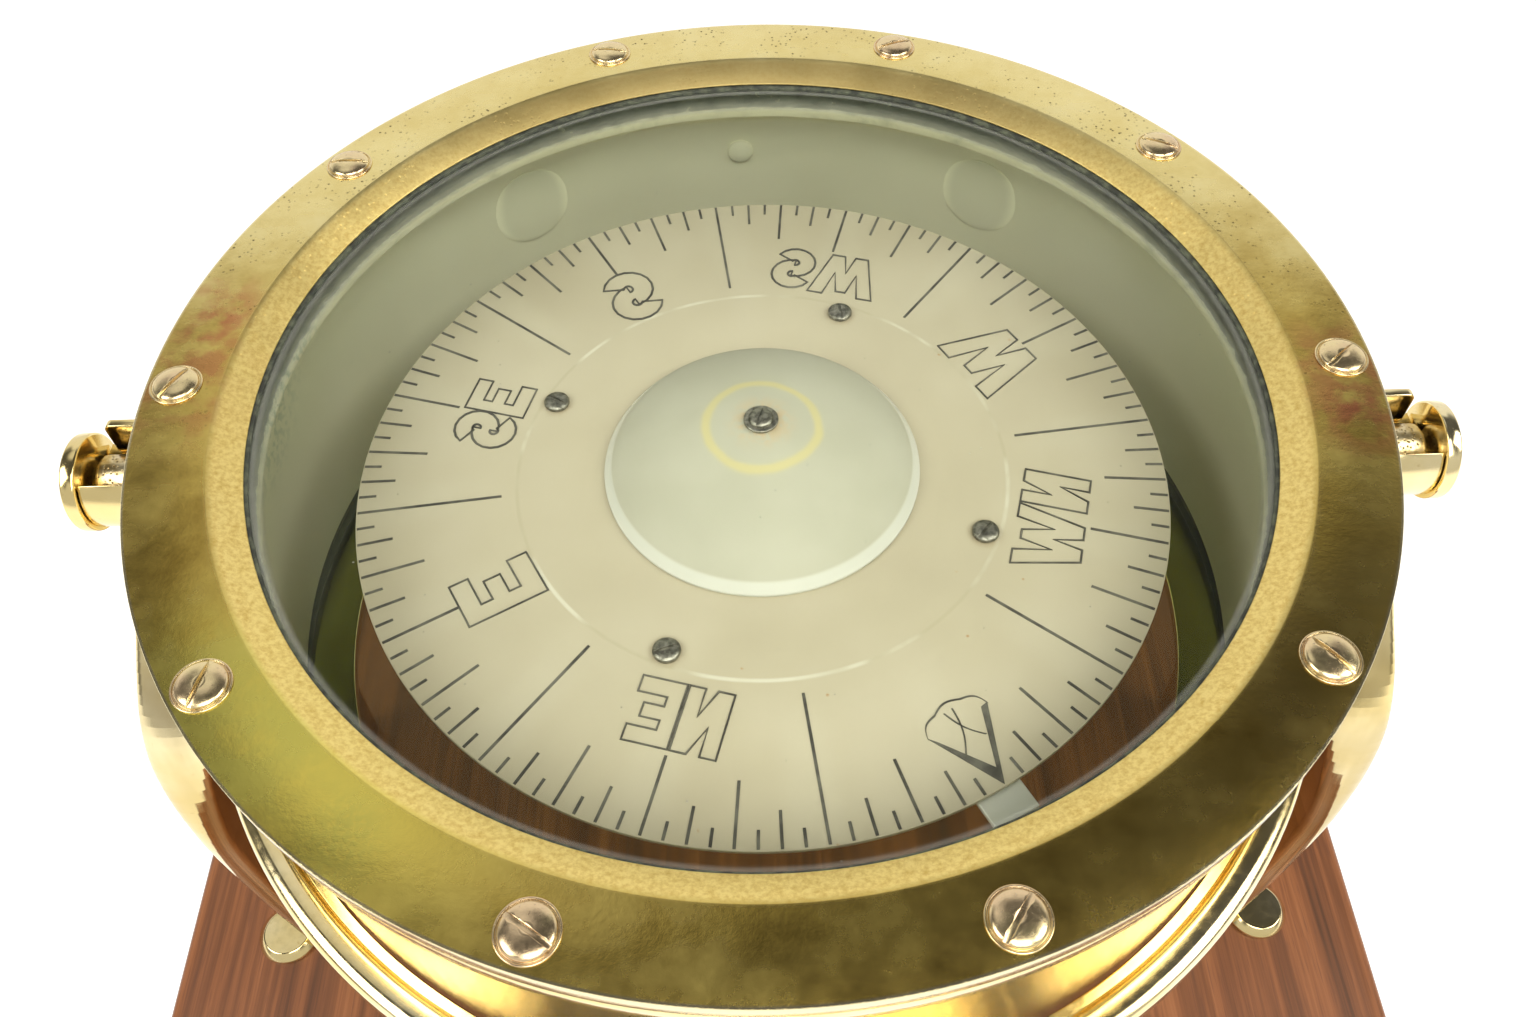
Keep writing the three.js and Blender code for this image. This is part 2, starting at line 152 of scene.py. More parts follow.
class Finish:
    """One material while it is being mixed."""

    def __init__(self, name):
        self.material = bpy.data.materials.new(name)
        self.material.use_nodes = True
        self.tree = self.material.node_tree
        self.tree.nodes.clear()
        self.place = self.node("TexCoord")["Object"]

    def node(self, kind, settings=None, sockets=None):
        node = self.tree.nodes.new("ShaderNode" + kind)
        for key, value in (settings or {}).items():
            if key == "stops":
                set_stops(node.color_ramp, value)
            else:
                setattr(node, key, value)
        for key, value in (sockets or {}).items():
            if isinstance(value, Wire):
                self.tree.links.new(value.socket, node.inputs[key])
            else:
                node.inputs[key].default_value = value
        return Outputs(self, node)

    def place_in(self, size_mm, shift, stretch=(1, 1, 1)):
        """The place on the piece, counted in a size."""
        scale = [1 / (size_mm * MM * s) for s in stretch]
        sockets = {"Vector": self.place, "Location": shift, "Scale": scale}
        return self.node("Mapping", {}, sockets)["Vector"]

    def noise(self, size_mm, detail=3, rough=0.5, stretch=(1, 1, 1), twist=0.0, shift=(0, 0, 0)):
        """Cloudy noise from 0 to 1. Stretch makes its clouds longer along an axis."""
        spot = self.place_in(size_mm, shift, stretch)
        sockets = {"Vector": spot, "Scale": 1, "Detail": detail, "Roughness": rough, "Distortion": twist}
        return self.node("TexNoise", {}, sockets)[0]

    def dots(self, size_mm, shift=(0, 0, 0)):
        """Distance to the nearest of many scattered dots, in units of their spacing."""
        sockets = {"Vector": self.place_in(size_mm, shift), "Scale": 1}
        return self.node("TexVoronoi", {}, sockets)["Distance"]

    def step(self, value, low, high):
        """0 below low, 1 above high and a soft rise between them."""
        settings = {"interpolation_type": "SMOOTHSTEP"}
        return self.node("MapRange", settings, {"Value": value, "From Min": low, "From Max": high})[0]

    def xyz(self):
        """The place on the piece as three numbers, in millimetres."""
        parts = self.node("SeparateXYZ", {}, {0: self.place})
        return parts["X"] * 1000, parts["Y"] * 1000, parts["Z"] * 1000

    def spot_near(self, centre_mm, radius_mm):
        """1 at a point on the piece, falling to 0 at a radius round it."""
        centre = [v * MM for v in centre_mm]
        away = self.node("VectorMath", {"operation": "DISTANCE"}, {0: self.place, 1: centre})["Value"]
        return 1 - self.step(away, 0.15 * radius_mm * MM, radius_mm * MM)

    def from_axis(self):
        """How far the place is from the upright axis, in millimetres."""
        flat = self.node("VectorMath", {"operation": "MULTIPLY"}, {0: self.place, 1: (1000, 1000, 0)})[0]
        return self.node("VectorMath", {"operation": "LENGTH"}, {0: flat})["Value"]

    def mix(self, share, first, second, blend="MIX"):
        settings = {"data_type": "RGBA", "blend_type": blend}
        return self.node("Mix", settings, {0: share, 6: first, 7: second})[2]

    def ramp(self, value, *stops):
        return self.node("ValToRGB", {"stops": stops}, {0: value})[0]

    def bump(self, height, strength, depth_mm):
        sockets = {"Height": height, "Strength": strength, "Distance": depth_mm * MM}
        return self.node("Bump", {}, sockets)[0]

    def surface(self, **sockets):
        """The Principled shader, with its sockets given by name."""
        named = {key.replace("_", " "): value for key, value in sockets.items()}
        return self.node("BsdfPrincipled", {}, named)["BSDF"]

    def painted(self, **sockets):
        """The finished material, with one Principled shader on its output."""
        return self.done(self.surface(**sockets))

    def done(self, shader):
        self.node("OutputMaterial", {}, {"Surface": shader})
        print("finish", self.material.name, len(self.tree.nodes), "nodes")
        return self.material


def set_stops(ramp, stops):
    """Gives a colour ramp its stops, each a place and a colour."""
    while len(ramp.elements) < len(stops):
        ramp.elements.new(1)
    for element, (place, colour) in zip(ramp.elements, stops):
        element.position = place
        element.color = colour


def rgb(red, green, blue):
    return (red, green, blue, 1)


# %% [markdown]
# ## Polished brass
# The arms, bearings, studs and rings are buffed and lacquered. Brass is a metal, so its
# colour sits in the reflection. Fine haze from wiping and a few tiny dents keep it from
# looking like a mirror. Faint brown streaks run up the arms: painted reflection of the dark
# surroundings and the wooden board.

# %% Polished brass
BRASS = rgb(0.83, 0.66, 0.30)
BRASS_PALE = rgb(0.92, 0.80, 0.50)
BRASS_DEEP = rgb(0.60, 0.42, 0.14)
BRASS_BROWN = rgb(0.27, 0.18, 0.045)


def polished_brass(name, haze=0.10, dents=0.10, reflection_streaks=0.0):
    brass = Finish(name)
    cloud = brass.noise(24, detail=4)
    fine = brass.noise(1.6, detail=5, rough=0.6)
    wipes = brass.noise(2.2, detail=4, stretch=(1, 1, 9))
    colour = brass.mix(brass.step(cloud, 0.35, 0.7), BRASS, BRASS_PALE)
    colour = brass.mix(brass.step(fine, 0.62, 0.8) * 0.5, colour, BRASS_DEEP)
    # The brown streak bands are painted reflection of the dark surroundings and the board.
    bands = brass.step(brass.noise(17, detail=3, stretch=(1, 1, 5), twist=0.5), 0.32, 0.72)
    colour = brass.mix(reflection_streaks * bands, colour, BRASS_BROWN)
    rough = haze + 0.07 * brass.step(wipes, 0.4, 0.7) + 0.05 * fine
    relief = brass.bump(fine + 0.6 * wipes, dents, 0.05)
    return brass.painted(Base_Color=colour, Metallic=1.0, Roughness=rough, Normal=relief, IOR=1.5)


polished = polished_brass("buffed_brass")
streaky = polished_brass("streaky_brass", haze=0.06, reflection_streaks=0.5)

# %% [markdown]
# ## Old brass
# The bezel has been handled for decades. Its far side is pale gold with black pits and its
# near side olive; this split is partly tarnish and partly painted reflection of the bright
# wall and the dark ceiling. The near side goes to brown on the right and to green on the
# left, with a yellow-gold patch at the near left that is a painted reflection of the glow
# high on the left. Red stains lie near the pins. The sloping lip round the window is a matt
# straw yellow, painted darker at its far side as shade. Each mark is a mask, and the masks
# are laid over the brass one after the other.

# %% Old brass for the bezel
LIP_R = 88.7  # edge of the round window
FLAT_R = 93.8  # where the lip meets the flat


def old_brass():
    brass = Finish("old_brass_bezel")
    x, y, z = brass.xyz()
    away = brass.from_axis()
    mottle = brass.noise(11, detail=6, rough=0.6)
    cloud = brass.noise(34, detail=4, shift=(3, 1, 0))
    grain = brass.noise(0.9, detail=4, rough=0.7)
    brushed = brass.noise(1.0, detail=4, stretch=(12, 3, 1))
    pits = 1 - brass.step(brass.dots(1.15), 0.10, 0.30)
    pit_area = brass.step(brass.noise(16, detail=5, shift=(8, 2, 0)), 0.42, 0.62)
    pit_area = pit_area * brass.step(y, -30, 20)
    specks = pits * pit_area * brass.step(grain, 0.35, 0.6)
    patches = 0.6 * mottle + 0.4 * cloud
    bright = brass.ramp(
        patches,
        (0.32, rgb(0.74, 0.58, 0.20)),
        (0.55, rgb(0.88, 0.74, 0.33)),
        (0.72, rgb(0.93, 0.81, 0.42)),
    )
    olive = brass.ramp(
        patches,
        (0.32, rgb(0.36, 0.24, 0.05)),
        (0.50, rgb(0.58, 0.42, 0.10)),
        (0.70, rgb(0.80, 0.62, 0.17)),
    )
    # The paler far side is partly tarnish, partly painted reflection of the bright wall.
    far_side_sheen_and_tarnish = brass.step(y + 30 * mottle, 20, 70)
    colour = brass.mix(far_side_sheen_and_tarnish, olive, bright)
    brown = brass.step(x, 10, 80) * brass.step(0 - y, 10, 60) * brass.step(mottle, 0.25, 0.6)
    colour = brass.mix(0.62 * brown, colour, rgb(0.17, 0.12, 0.045))
    # Painted highlight: the glow high on the left, mirrored at the bezel's near left.
    softbox_glint = brass.spot_near((-66, -74, TOP), 46)
    colour = brass.mix(0.8 * softbox_glint, colour, rgb(0.90, 0.74, 0.14))
    green = brass.spot_near((-77, -66, TOP), 32) * brass.step(mottle, 0.35, 0.6)
    green = green + 0.8 * brass.spot_near((-58, -84, TOP), 10) * brass.step(grain, 0.3, 0.6)
    colour = brass.mix(0.30 * green, colour, rgb(0.38, 0.48, 0.13))
    red_left = brass.spot_near((-99, 2, TOP), 22) + brass.spot_near((-99, 19, TOP), 12)
    red_right = brass.spot_near((102, -3, TOP), 17) + brass.spot_near((101, -15, TOP), 11)
    red = (red_left + red_right) * brass.step(brass.noise(5, detail=5), 0.38, 0.62)
    colour = brass.mix(0.6 * red, colour, rgb(0.50, 0.16, 0.08))
    colour = brass.mix(0.85 * specks, colour, rgb(0.05, 0.035, 0.015))
    lip = 1 - brass.step(away, FLAT_R - 1.2, FLAT_R + 0.6)
    straw = brass.ramp(grain, (0.3, rgb(0.72, 0.49, 0.13)), (0.6, rgb(0.96, 0.76, 0.28)))
    # Painted shade: the lip is darker towards its far side.
    far_lip_shade = brass.step(y, 40, 84) * 0.85
    colour = brass.mix(0.9 * lip, colour, brass.mix(far_lip_shade, straw, rgb(0.22, 0.16, 0.06)))
    edge = brass.step(away, BEZEL_R - 0.55, BEZEL_R - 0.25)
    colour = brass.mix(0.8 * edge, colour, BRASS_PALE)
    rough = 0.13 + 0.20 * mottle + 0.35 * specks + 0.20 * lip - 0.08 * edge + 0.06 * brushed
    relief = brass.bump(0.9 * brushed + grain - 1.2 * specks, 0.28, 0.10)
    return brass.painted(
        Base_Color=colour, Metallic=1 - 0.12 * lip, Roughness=rough, Normal=relief, IOR=1.5
    )


bezel_brass = old_brass()

# %% [markdown]
# ## Screw brass and pitted brass
# The screws are a slightly redder brass, polished on the crown and dark in the slot. The
# side pins are dull and pitted where they turn in their bearings.

# %% Screw brass and pitted brass


def screw_brass():
    brass = Finish("red_screw_brass")
    fine = brass.noise(0.7, detail=4)
    cloud = brass.noise(6, detail=3)
    colour = brass.mix(brass.step(cloud, 0.35, 0.65), rgb(0.80, 0.60, 0.36), rgb(0.86, 0.70, 0.38))
    colour = brass.mix(0.7 * brass.step(fine, 0.60, 0.78), colour, rgb(0.22, 0.14, 0.07))
    rough = 0.13 + 0.22 * fine
    relief = brass.bump(fine, 0.22, 0.06)
    return brass.painted(Base_Color=colour, Metallic=1.0, Roughness=rough, Normal=relief, IOR=1.5)


def pitted_brass():
    brass = Finish("pitted_brass")
    pits = 1 - brass.step(brass.dots(0.8), 0.12, 0.34)
    fine = brass.noise(1.4, detail=5)
    colour = brass.mix(brass.step(fine, 0.35, 0.65), rgb(0.55, 0.42, 0.20), rgb(0.78, 0.66, 0.40))
    colour = brass.mix(0.8 * pits, colour, rgb(0.10, 0.07, 0.03))
    relief = brass.bump(fine - 1.5 * pits, 0.4, 0.12)
    rough = 0.28 + 0.25 * pits
    return brass.painted(Base_Color=colour, Metallic=1.0, Roughness=rough, Normal=relief, IOR=1.5)


screw_metal = screw_brass()
pin_brass = pitted_brass()

# %% [markdown]
# ## Bowl
# One casting carries two finishes: polished brass outside, and pale grey-green paint
# inside, a little stained under the glass. Whatever stands proud of the wall, and the ledge
# under the top pane, is painted darker as shade.
# The distance from the upright axis tells them apart.

# %% Bowl finish
WALL_IN = WALL_R - 7


def bowl_finish():
    bowl = Finish("bowl_brass_and_paint")
    height = bowl.xyz()[2]
    away = bowl.from_axis()
    orange_peel = bowl.noise(1.5, detail=3)
    cloud = bowl.noise(30, detail=5)
    stain = bowl.step(bowl.noise(7, detail=6, rough=0.7), 0.50, 0.72)
    high = bowl.step(height, TOP - 22, TOP - 11)
    paint = bowl.ramp(
        cloud,
        (0.3, rgb(0.83, 0.82, 0.60)),
        (0.5, rgb(0.87, 0.86, 0.64)),
        (0.7, rgb(0.90, 0.89, 0.67)),
    )
    paint = bowl.mix(0.5 * stain * high, paint, rgb(0.30, 0.33, 0.22))
    verdigris = bowl.spot_near((-92, 8, TOP - 14), 26) * bowl.step(orange_peel, 0.45, 0.6)
    paint = bowl.mix(0.6 * verdigris, paint, rgb(0.16, 0.30, 0.22))
    # Painted shade: the bosses, the plug end and the ledge under the top pane are darker.
    proud_shade = 1 - bowl.step(away, WALL_IN - 0.5, WALL_IN - 0.05)
    paint = bowl.mix(0.30 * proud_shade, paint, rgb(0.30, 0.30, 0.20))
    inside = 1 - bowl.step(away, WALL_IN + 1.5, WALL_IN + 2.5)
    brass = bowl.mix(bowl.step(cloud, 0.35, 0.7), BRASS, BRASS_PALE)
    colour = bowl.mix(inside, brass, paint)
    rough = 0.13 + 0.05 * orange_peel + 0.38 * inside
    relief = bowl.bump(orange_peel, 0.18, 0.12)
    return bowl.painted(
        Base_Color=colour, Metallic=1 - inside, Roughness=rough, Normal=relief, IOR=1.45
    )


bowl_metal = bowl_finish()

# %% [markdown]
# ## Glass, card, float and rubber
# The panes let straight rays through and mirror a little of what is round them, more
# towards grazing angles. Liquid lies under the top pane, so it mirrors less than a pane
# with air on both sides. Grime has collected at the edge of each pane. The card is a cream
# plastic sheet with faint spokes and rust specks, and rust round its four screws. The
# domed float is a whiter plastic, with a ring of rust stain round its screw.

# %% Glass
GLASS_INDEX = 1.18


def glass(name, edge_mm, tint):
    pane = Finish(name)
    away = pane.from_axis()
    at_edge = pane.step(away, edge_mm - 2.6, edge_mm - 0.4)
    grime = at_edge * (0.35 + 0.65 * pane.noise(3, detail=5))
    smears = pane.step(pane.noise(26, detail=4, stretch=(1, 3, 1)), 0.52, 0.80)
    dust = 1 - pane.step(pane.dots(5.5), 0.02, 0.035)
    clear = pane.node("BsdfTransparent", {}, {"Color": tint})["BSDF"]
    shine = pane.surface(Base_Color=rgb(0.9, 0.95, 0.94), Metallic=1.0, Roughness=0.02 + 0.05 * smears)
    film_colour = pane.mix(grime, rgb(0.80, 0.80, 0.72), rgb(0.07, 0.075, 0.05))
    film = pane.surface(Base_Color=film_colour, Roughness=0.6)
    mirror = pane.node("Fresnel", {}, {"IOR": GLASS_INDEX})["Fac"]
    window = pane.node("MixShader", {}, {0: mirror, 1: clear, 2: shine})[0]
    share = 0.80 * grime + 0.02 * smears + 0.25 * dust
    return pane.done(pane.node("MixShader", {}, {0: share, 1: window, 2: film})[0])


top_glass_finish = glass("top_glass", 89.4, rgb(0.97, 0.98, 0.955))
# The bottom pane's darker green tint is painted shade on the board and ring seen through it.
bottom_glass_finish = glass("bottom_glass", 99.5, rgb(0.74, 0.78, 0.62))

# %% Card
NORTH = radians(-60.6)
SCREW_RING_R = 46.5


def middle_of(node):
    """The middle of a plain solid, in millimetres."""
    low, high = span(node)
    return (low + high) / 2


CARD_SCREWS = [f"card_screw_{i}" for i in [1, 2, 3, 4]]


def card_finish():
    card = Finish("card_cream")
    x, y, z = card.xyz()
    away = card.from_axis()
    cloud = card.noise(30, detail=4)
    fibre = card.noise(2.5, detail=4)
    bearing = card.node("Math", {"operation": "ARCTAN2"}, {0: y, 1: x})[0]
    spokes = card.node("Math", {"operation": "SINE"}, {0: bearing * 16})[0]
    colour = card.ramp(
        cloud,
        (0.30, rgb(0.51, 0.45, 0.32)),
        (0.50, rgb(0.55, 0.49, 0.35)),
        (0.70, rgb(0.59, 0.53, 0.39)),
    )
    rays = card.step(spokes, 0, 1) * card.step(away, 48, 60)
    colour = card.mix(0.07 * rays, colour, rgb(0.9, 0.88, 0.74))
    # Painted shadow of the card frame: a faint ring over its edge, with lighter painted arcs.
    ring = card.step(away, SCREW_RING_R - 0.5, SCREW_RING_R) * (
        1 - card.step(away, SCREW_RING_R + 0.2, SCREW_RING_R + 0.7)
    )
    frame_lit_arcs = card.step(card.noise(18, detail=4, shift=(5, 5, 0)), 0.42, 0.6)
    colour = card.mix(0.45 * ring * frame_lit_arcs, colour, rgb(0.90, 0.90, 0.78))
    colour = card.mix(0.35 * ring * (1 - frame_lit_arcs), colour, rgb(0.45, 0.40, 0.26))
    specks = 1 - card.step(card.dots(9, shift=(0.3, 0, 0)), 0.025, 0.045)
    specks = specks * card.step(fibre, 0.45, 0.6)
    colour = card.mix(0.8 * specks, colour, rgb(0.45, 0.25, 0.10))
    for node in CARD_SCREWS:
        middle = middle_of(node)
        halo = card.spot_near((middle.x, middle.y, CARD_TOP), 4.2)
        colour = card.mix(0.75 * halo * card.step(fibre, 0.2, 0.6), colour, rgb(0.30, 0.20, 0.09))
    relief = card.bump(fibre, 0.05, 0.08)
    return card.painted(
        Base_Color=colour,
        Roughness=0.42 + 0.15 * fibre,
        Normal=relief,
        Coat_Weight=0.2 + 0.1 * cloud,
    )


card_plastic = card_finish()


# %% Float
def float_finish():
    plastic = Finish("float_plastic")
    away = plastic.from_axis()
    cloud = plastic.noise(14, detail=4)
    fine = plastic.noise(1.2, detail=4)
    wobble = away + 2.4 * cloud
    stain = plastic.step(wobble, 10.2, 11.4) * (1 - plastic.step(wobble, 11.8, 13.0))
    inner = 1 - plastic.step(wobble, 3.5, 9.0)
    colour = plastic.mix(plastic.step(cloud, 0.3, 0.7), rgb(0.50, 0.49, 0.385), rgb(0.54, 0.53, 0.425))
    colour = plastic.mix(0.55 * stain, colour, rgb(0.72, 0.62, 0.22))
    colour = plastic.mix(0.40 * inner * plastic.step(fine, 0.35, 0.6), colour, rgb(0.70, 0.42, 0.14))
    # The rim is painted whiter as a highlight on its bevel; the lower roughness and coat are real gloss.
    rim = plastic.step(away, 28.2, 28.8)
    colour = plastic.mix(0.5 * rim, colour, rgb(0.88, 0.90, 0.86))
    relief = plastic.bump(fine, 0.04, 0.05)
    return plastic.painted(
        Base_Color=colour,
        Roughness=0.62 - 0.40 * rim,
        Normal=relief,
        Coat_Weight=0.8 * rim,
        Specular_IOR_Level=0.25,
    )


float_plastic = float_finish()

# %% Ink, steel and rubber


def plain_finish(name, dark, light, size_mm, rough, metal, relief_mm):
    """A finish with one cloudy pattern: two colours, and roughness and relief that follow it."""
    paint = Finish(name)
    cloud = paint.noise(size_mm, detail=5, rough=0.6)
    colour = paint.mix(paint.step(cloud, 0.35, 0.65), dark, light)
    relief = paint.bump(cloud, 0.3, relief_mm)
    return paint.painted(
        Base_Color=colour, Metallic=metal, Roughness=rough + 0.15 * cloud, Normal=relief, IOR=1.5
    )


INK_COLOURS = rgb(0.055, 0.05, 0.04), rgb(0.16, 0.15, 0.12)
STEEL_COLOURS = rgb(0.16, 0.15, 0.12), rgb(0.42, 0.40, 0.34)
RUBBER_COLOURS = rgb(0.03, 0.032, 0.024), rgb(0.10, 0.11, 0.07)
FELT_COLOURS = rgb(0.035, 0.09, 0.045), rgb(0.07, 0.15, 0.08)
ink = plain_finish("ink", *INK_COLOURS, 5, 0.55, 0.0, 0.01)
steel = plain_finish("dull_steel", *STEEL_COLOURS, 1.2, 0.35, 1.0, 0.06)
rubber = plain_finish("black_rubber", *RUBBER_COLOURS, 2.0, 0.70, 0.0, 0.10)
felt_cloth = plain_finish("green_felt", *FELT_COLOURS, 0.5, 0.80, 0.0, 0.25)

# %% [markdown]
# ## Wood
# The board is a reddish mahogany kind of wood with straight grain from front to back.
# Noise stretched a long way along the grain gives the dark lines, a second one gives the
# wide bands of growth, and short dashes give the open pores.

# %% Wood


def wood_finish():
    wood = Finish("red_brown_wood")
    bands = wood.noise(9, detail=3, stretch=(1, 34, 3), twist=0.6)
    lines = wood.noise(1.5, detail=5, rough=0.65, stretch=(1, 60, 3))
    pores = wood.noise(0.42, detail=2, stretch=(1, 26, 2))
    cloud = wood.noise(60, detail=3)
    grain = 0.55 * bands + 0.45 * lines
    colour = wood.ramp(
        grain,
        (0.34, rgb(0.045, 0.013, 0.004)),
        (0.44, rgb(0.125, 0.038, 0.010)),
        (0.54, rgb(0.22, 0.072, 0.021)),
        (0.68, rgb(0.34, 0.125, 0.042)),
    )
    colour = wood.mix(0.45 * wood.step(pores, 0.56, 0.70), colour, rgb(0.07, 0.022, 0.012))
    colour = wood.mix(0.16 * cloud, colour, rgb(0.52, 0.24, 0.10))
    rough = 0.34 + 0.18 * lines
    relief = wood.bump(lines + 0.7 * pores, 0.16, 0.12)
    coat = 0.08 + 0.06 * cloud
    return wood.painted(Base_Color=colour, Roughness=rough, Normal=relief, Coat_Weight=coat)


mahogany = wood_finish()

# %% [markdown]
# ## Making a piece
# Most pieces are turned on a lathe, so most shapes start as half a section that is spun
# round an axis. Other helpers round the sharp edges, carve a shape out of another, and
# hand the finished mesh over to the body that it rides on.

# %% Lathe, edge rounding, carving and hand-over
LATHE_STEPS = 144


def turn(profile, steps=LATHE_STEPS, closed=True):
    """Spins points of (radius, height) in millimetres once round the upright axis."""
    bm = bmesh.new()
    points = [bm.verts.new((r, 0, z)) for r, z in profile]
    pairs = list(zip(points, points[1:]))
    if closed:
        pairs.append((points[-1], points[0]))
    edges = [bm.edges.new(pair) for pair in pairs]
    bmesh.ops.spin(
        bm, geom=points + edges, cent=(0, 0, 0), axis=(0, 0, 1), angle=2 * pi, steps=steps,
        use_merge=True,
    )
    bmesh.ops.remove_doubles(bm, verts=bm.verts, dist=1e-4)
    bmesh.ops.dissolve_degenerate(bm, edges=bm.edges, dist=1e-5)
    bmesh.ops.recalc_face_normals(bm, faces=bm.faces)
    return bm


def rod(radius, low, high, steps=64):
    """A round bar between two heights."""
    return turn([(0, low), (radius, low), (radius, high), (0, high)], steps, closed=False)


def hoop(inner, outer, low, high, steps):
    """A flat ring between two heights."""
    return turn([(inner, low), (outer, low), (outer, high), (inner, high)], steps)


def bevel(bm, parts, width, segments, affect="EDGES", clamp=False):
    bmesh.ops.bevel(
        bm, geom=parts, offset=width, segments=segments, profile=0.5, affect=affect, material=-1,
        clamp_overlap=clamp,
    )


def round_edges(bm, width, segments=2, sharper_than=30):
    """Bevels every edge that bends by more than an angle in degrees."""
    limit = radians(sharper_than)
    sharp = [e for e in bm.edges if e.is_manifold and e.calc_face_angle() > limit]
    bevel(bm, sharp, width, segments, clamp=True)
    return bm


def box_shape(low, high):
    """A box between two corners, in millimetres."""
    bm = bmesh.new()
    bmesh.ops.create_cube(bm, size=1)
    low, high = Vector(low), Vector(high)
    bmesh.ops.scale(bm, vec=high - low, verts=bm.verts)
    bmesh.ops.translate(bm, vec=(low + high) / 2, verts=bm.verts)
    return bm


def shape_object(name, bm):
    mesh = bpy.data.meshes.new(name)
    bm.to_mesh(mesh)
    bm.free()
    return add_object(name, mesh)


def worked_out(piece):
    """The shape that an object has after its modifiers. The object is removed."""
    bpy.context.view_layer.update()
    depsgraph = bpy.context.evaluated_depsgraph_get()
    mesh = bpy.data.meshes.new_from_object(piece.evaluated_get(depsgraph))
    bm = bmesh.new()
    bm.from_mesh(mesh)
    bpy.data.objects.remove(piece)
    bpy.data.meshes.remove(mesh)
    return bm


def carve(bm, cutters, operation="DIFFERENCE"):
    """Takes the cutters away from a shape, or joins them to it."""
    body = shape_object("blank", bm)
    tools = [shape_object("cutter", cutter) for cutter in cutters]
    for tool in tools:
        modifier = body.modifiers.new("carve", "BOOLEAN")
        modifier.operation = operation
        modifier.solver = "EXACT"
        modifier.object = tool
    carved = worked_out(body)
    bmesh.ops.remove_doubles(carved, verts=carved.verts, dist=1e-4)
    for tool in tools:
        bpy.data.objects.remove(tool)
    return carved


def moved(bm, place=(0, 0, 0), turned=0.0, axis="Z", scaled=(1, 1, 1)):
    """Scales a shape, then turns it by an angle round an axis, then moves it."""
    bmesh.ops.scale(bm, vec=scaled, verts=bm.verts)
    bmesh.ops.rotate(bm, cent=(0, 0, 0), matrix=Matrix.Rotation(turned, 3, axis), verts=bm.verts)
    bmesh.ops.translate(bm, vec=place, verts=bm.verts)
    if scaled[0] * scaled[1] * scaled[2] < 0:
        bmesh.ops.reverse_faces(bm, faces=bm.faces)
    return bm


def along_x(bm, side):
    """Lays an upright turned shape along the pins' axis, pointing to one side."""
    moved(bm, turned=pi / 2, axis="Y")
    return moved(bm, place=(0, 0, AXIS_Z), scaled=(side, 1, 1))


def hand_over(name, bm, body, finish, nodes, smooth_to=38):
    """Turns a shape into a finished piece: metres, finish, shading and the body that it rides on."""
    bmesh.ops.scale(bm, vec=(MM, MM, MM), verts=bm.verts)
    piece = shape_object(name, bm)
    piece.data.materials.append(finish)
    piece.data.shade_smooth()
    piece.data.set_sharp_from_angle(angle=radians(smooth_to))
    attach(piece, body)
    if nodes:
        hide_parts(*nodes)
    print(f"{name}: {len(piece.data.polygons)} faces")


# %% [markdown]
# ## Board and felt
# A board is a box whose corners were rounded on a sander and whose edges were broken with
# a plane: one bevel on the upright edges and a smaller one all round.

# %% Board and felt


def board_shape(low, high, corner, edge):
    bm = box_shape(low, high)
    upright = [e for e in bm.edges if abs(e.verts[0].co.z - e.verts[1].co.z) > 0.1]
    bevel(bm, upright, corner, 8)
    return round_edges(bm, edge, segments=4, sharper_than=50)


hand_over(
    "board", board_shape(BOARD_LOW, BOARD_HIGH, 8, 2.2), "stand", mahogany, ["wood_base"]
)
FELT_LOW, FELT_HIGH = span("base_felt")
hand_over(
    "felt_pad", board_shape(FELT_LOW, FELT_HIGH, 6, 0.4), "stand", felt_cloth, ["base_felt"]
)

# %% [markdown]
# ## Arms
# Each arm is a cast plate: wide below, bulging to a shoulder, and narrow under the
# bearing. It starts as a rounded oblong on the board, which is extruded up in many small
# steps. Each step is stretched to the arm's width and thickness at that height, taken
# from a smooth curve through a few measured sections.

# %% Arm sections
# height above the board, half width, inner side, outer side
ARM_SECTIONS = [
    (0.0, 35.8, 123.0, 128.4),
    (22.7, 37.2, 123.0, 128.4),
    (44.7, 38.6, 122.9, 128.4),
    (77.7, 39.8, 122.2, 128.4),
    (93.7, 39.6, 120.4, 128.4),
    (106.7, 38.4, 118.2, 128.4),
    (116.7, 36.4, 116.4, 128.2),
    (123.7, 33.6, 115.4, 127.8),
    (129.7, 30.2, 114.8, 127.2),
    (134.7, 26.0, 114.4, 126.6),
    (139.7, 21.0, 114.2, 126.0),
    (144.7, 16.6, 114.0, 125.2),
    (149.7, 13.2, 113.9, 124.0),
    (154.7, 11.0, 113.9, 122.4),
    (159.7, 9.8, 113.9, 121.2),
    (164.7, 9.4, 113.9, 120.8),
]
ARM_BOTTOM = BOARD_HIGH.z + GAP
ARM_CORNER = 2.4
SIDES = [(-1, "left"), (1, "right")]
SADDLE_R = 8.75  # hollow in the arm's top that the bearing lies in
TOOL_IN, TOOL_OUT = 100, 140  # how far out the carving tools reach


def between(a, b, c, d, t):
    """A smooth curve through b and c, led in by a and out by d."""
    bend = (2 * a - 5 * b + 4 * c - d) * t * t + (3 * b - a - 3 * c + d) * t**3
    return 0.5 * (2 * b + (c - a) * t + bend)


def smooth_sections(sections, steps):
    padded = [sections[0], *sections, sections[-1]]
    smooth = []
    for i in range(len(sections) - 1):
        for k in range(steps):
            four = zip(*padded[i : i + 4])
            smooth.append([between(*values, k / steps) for values in four])
    smooth.append(list(sections[-1]))
    return smooth


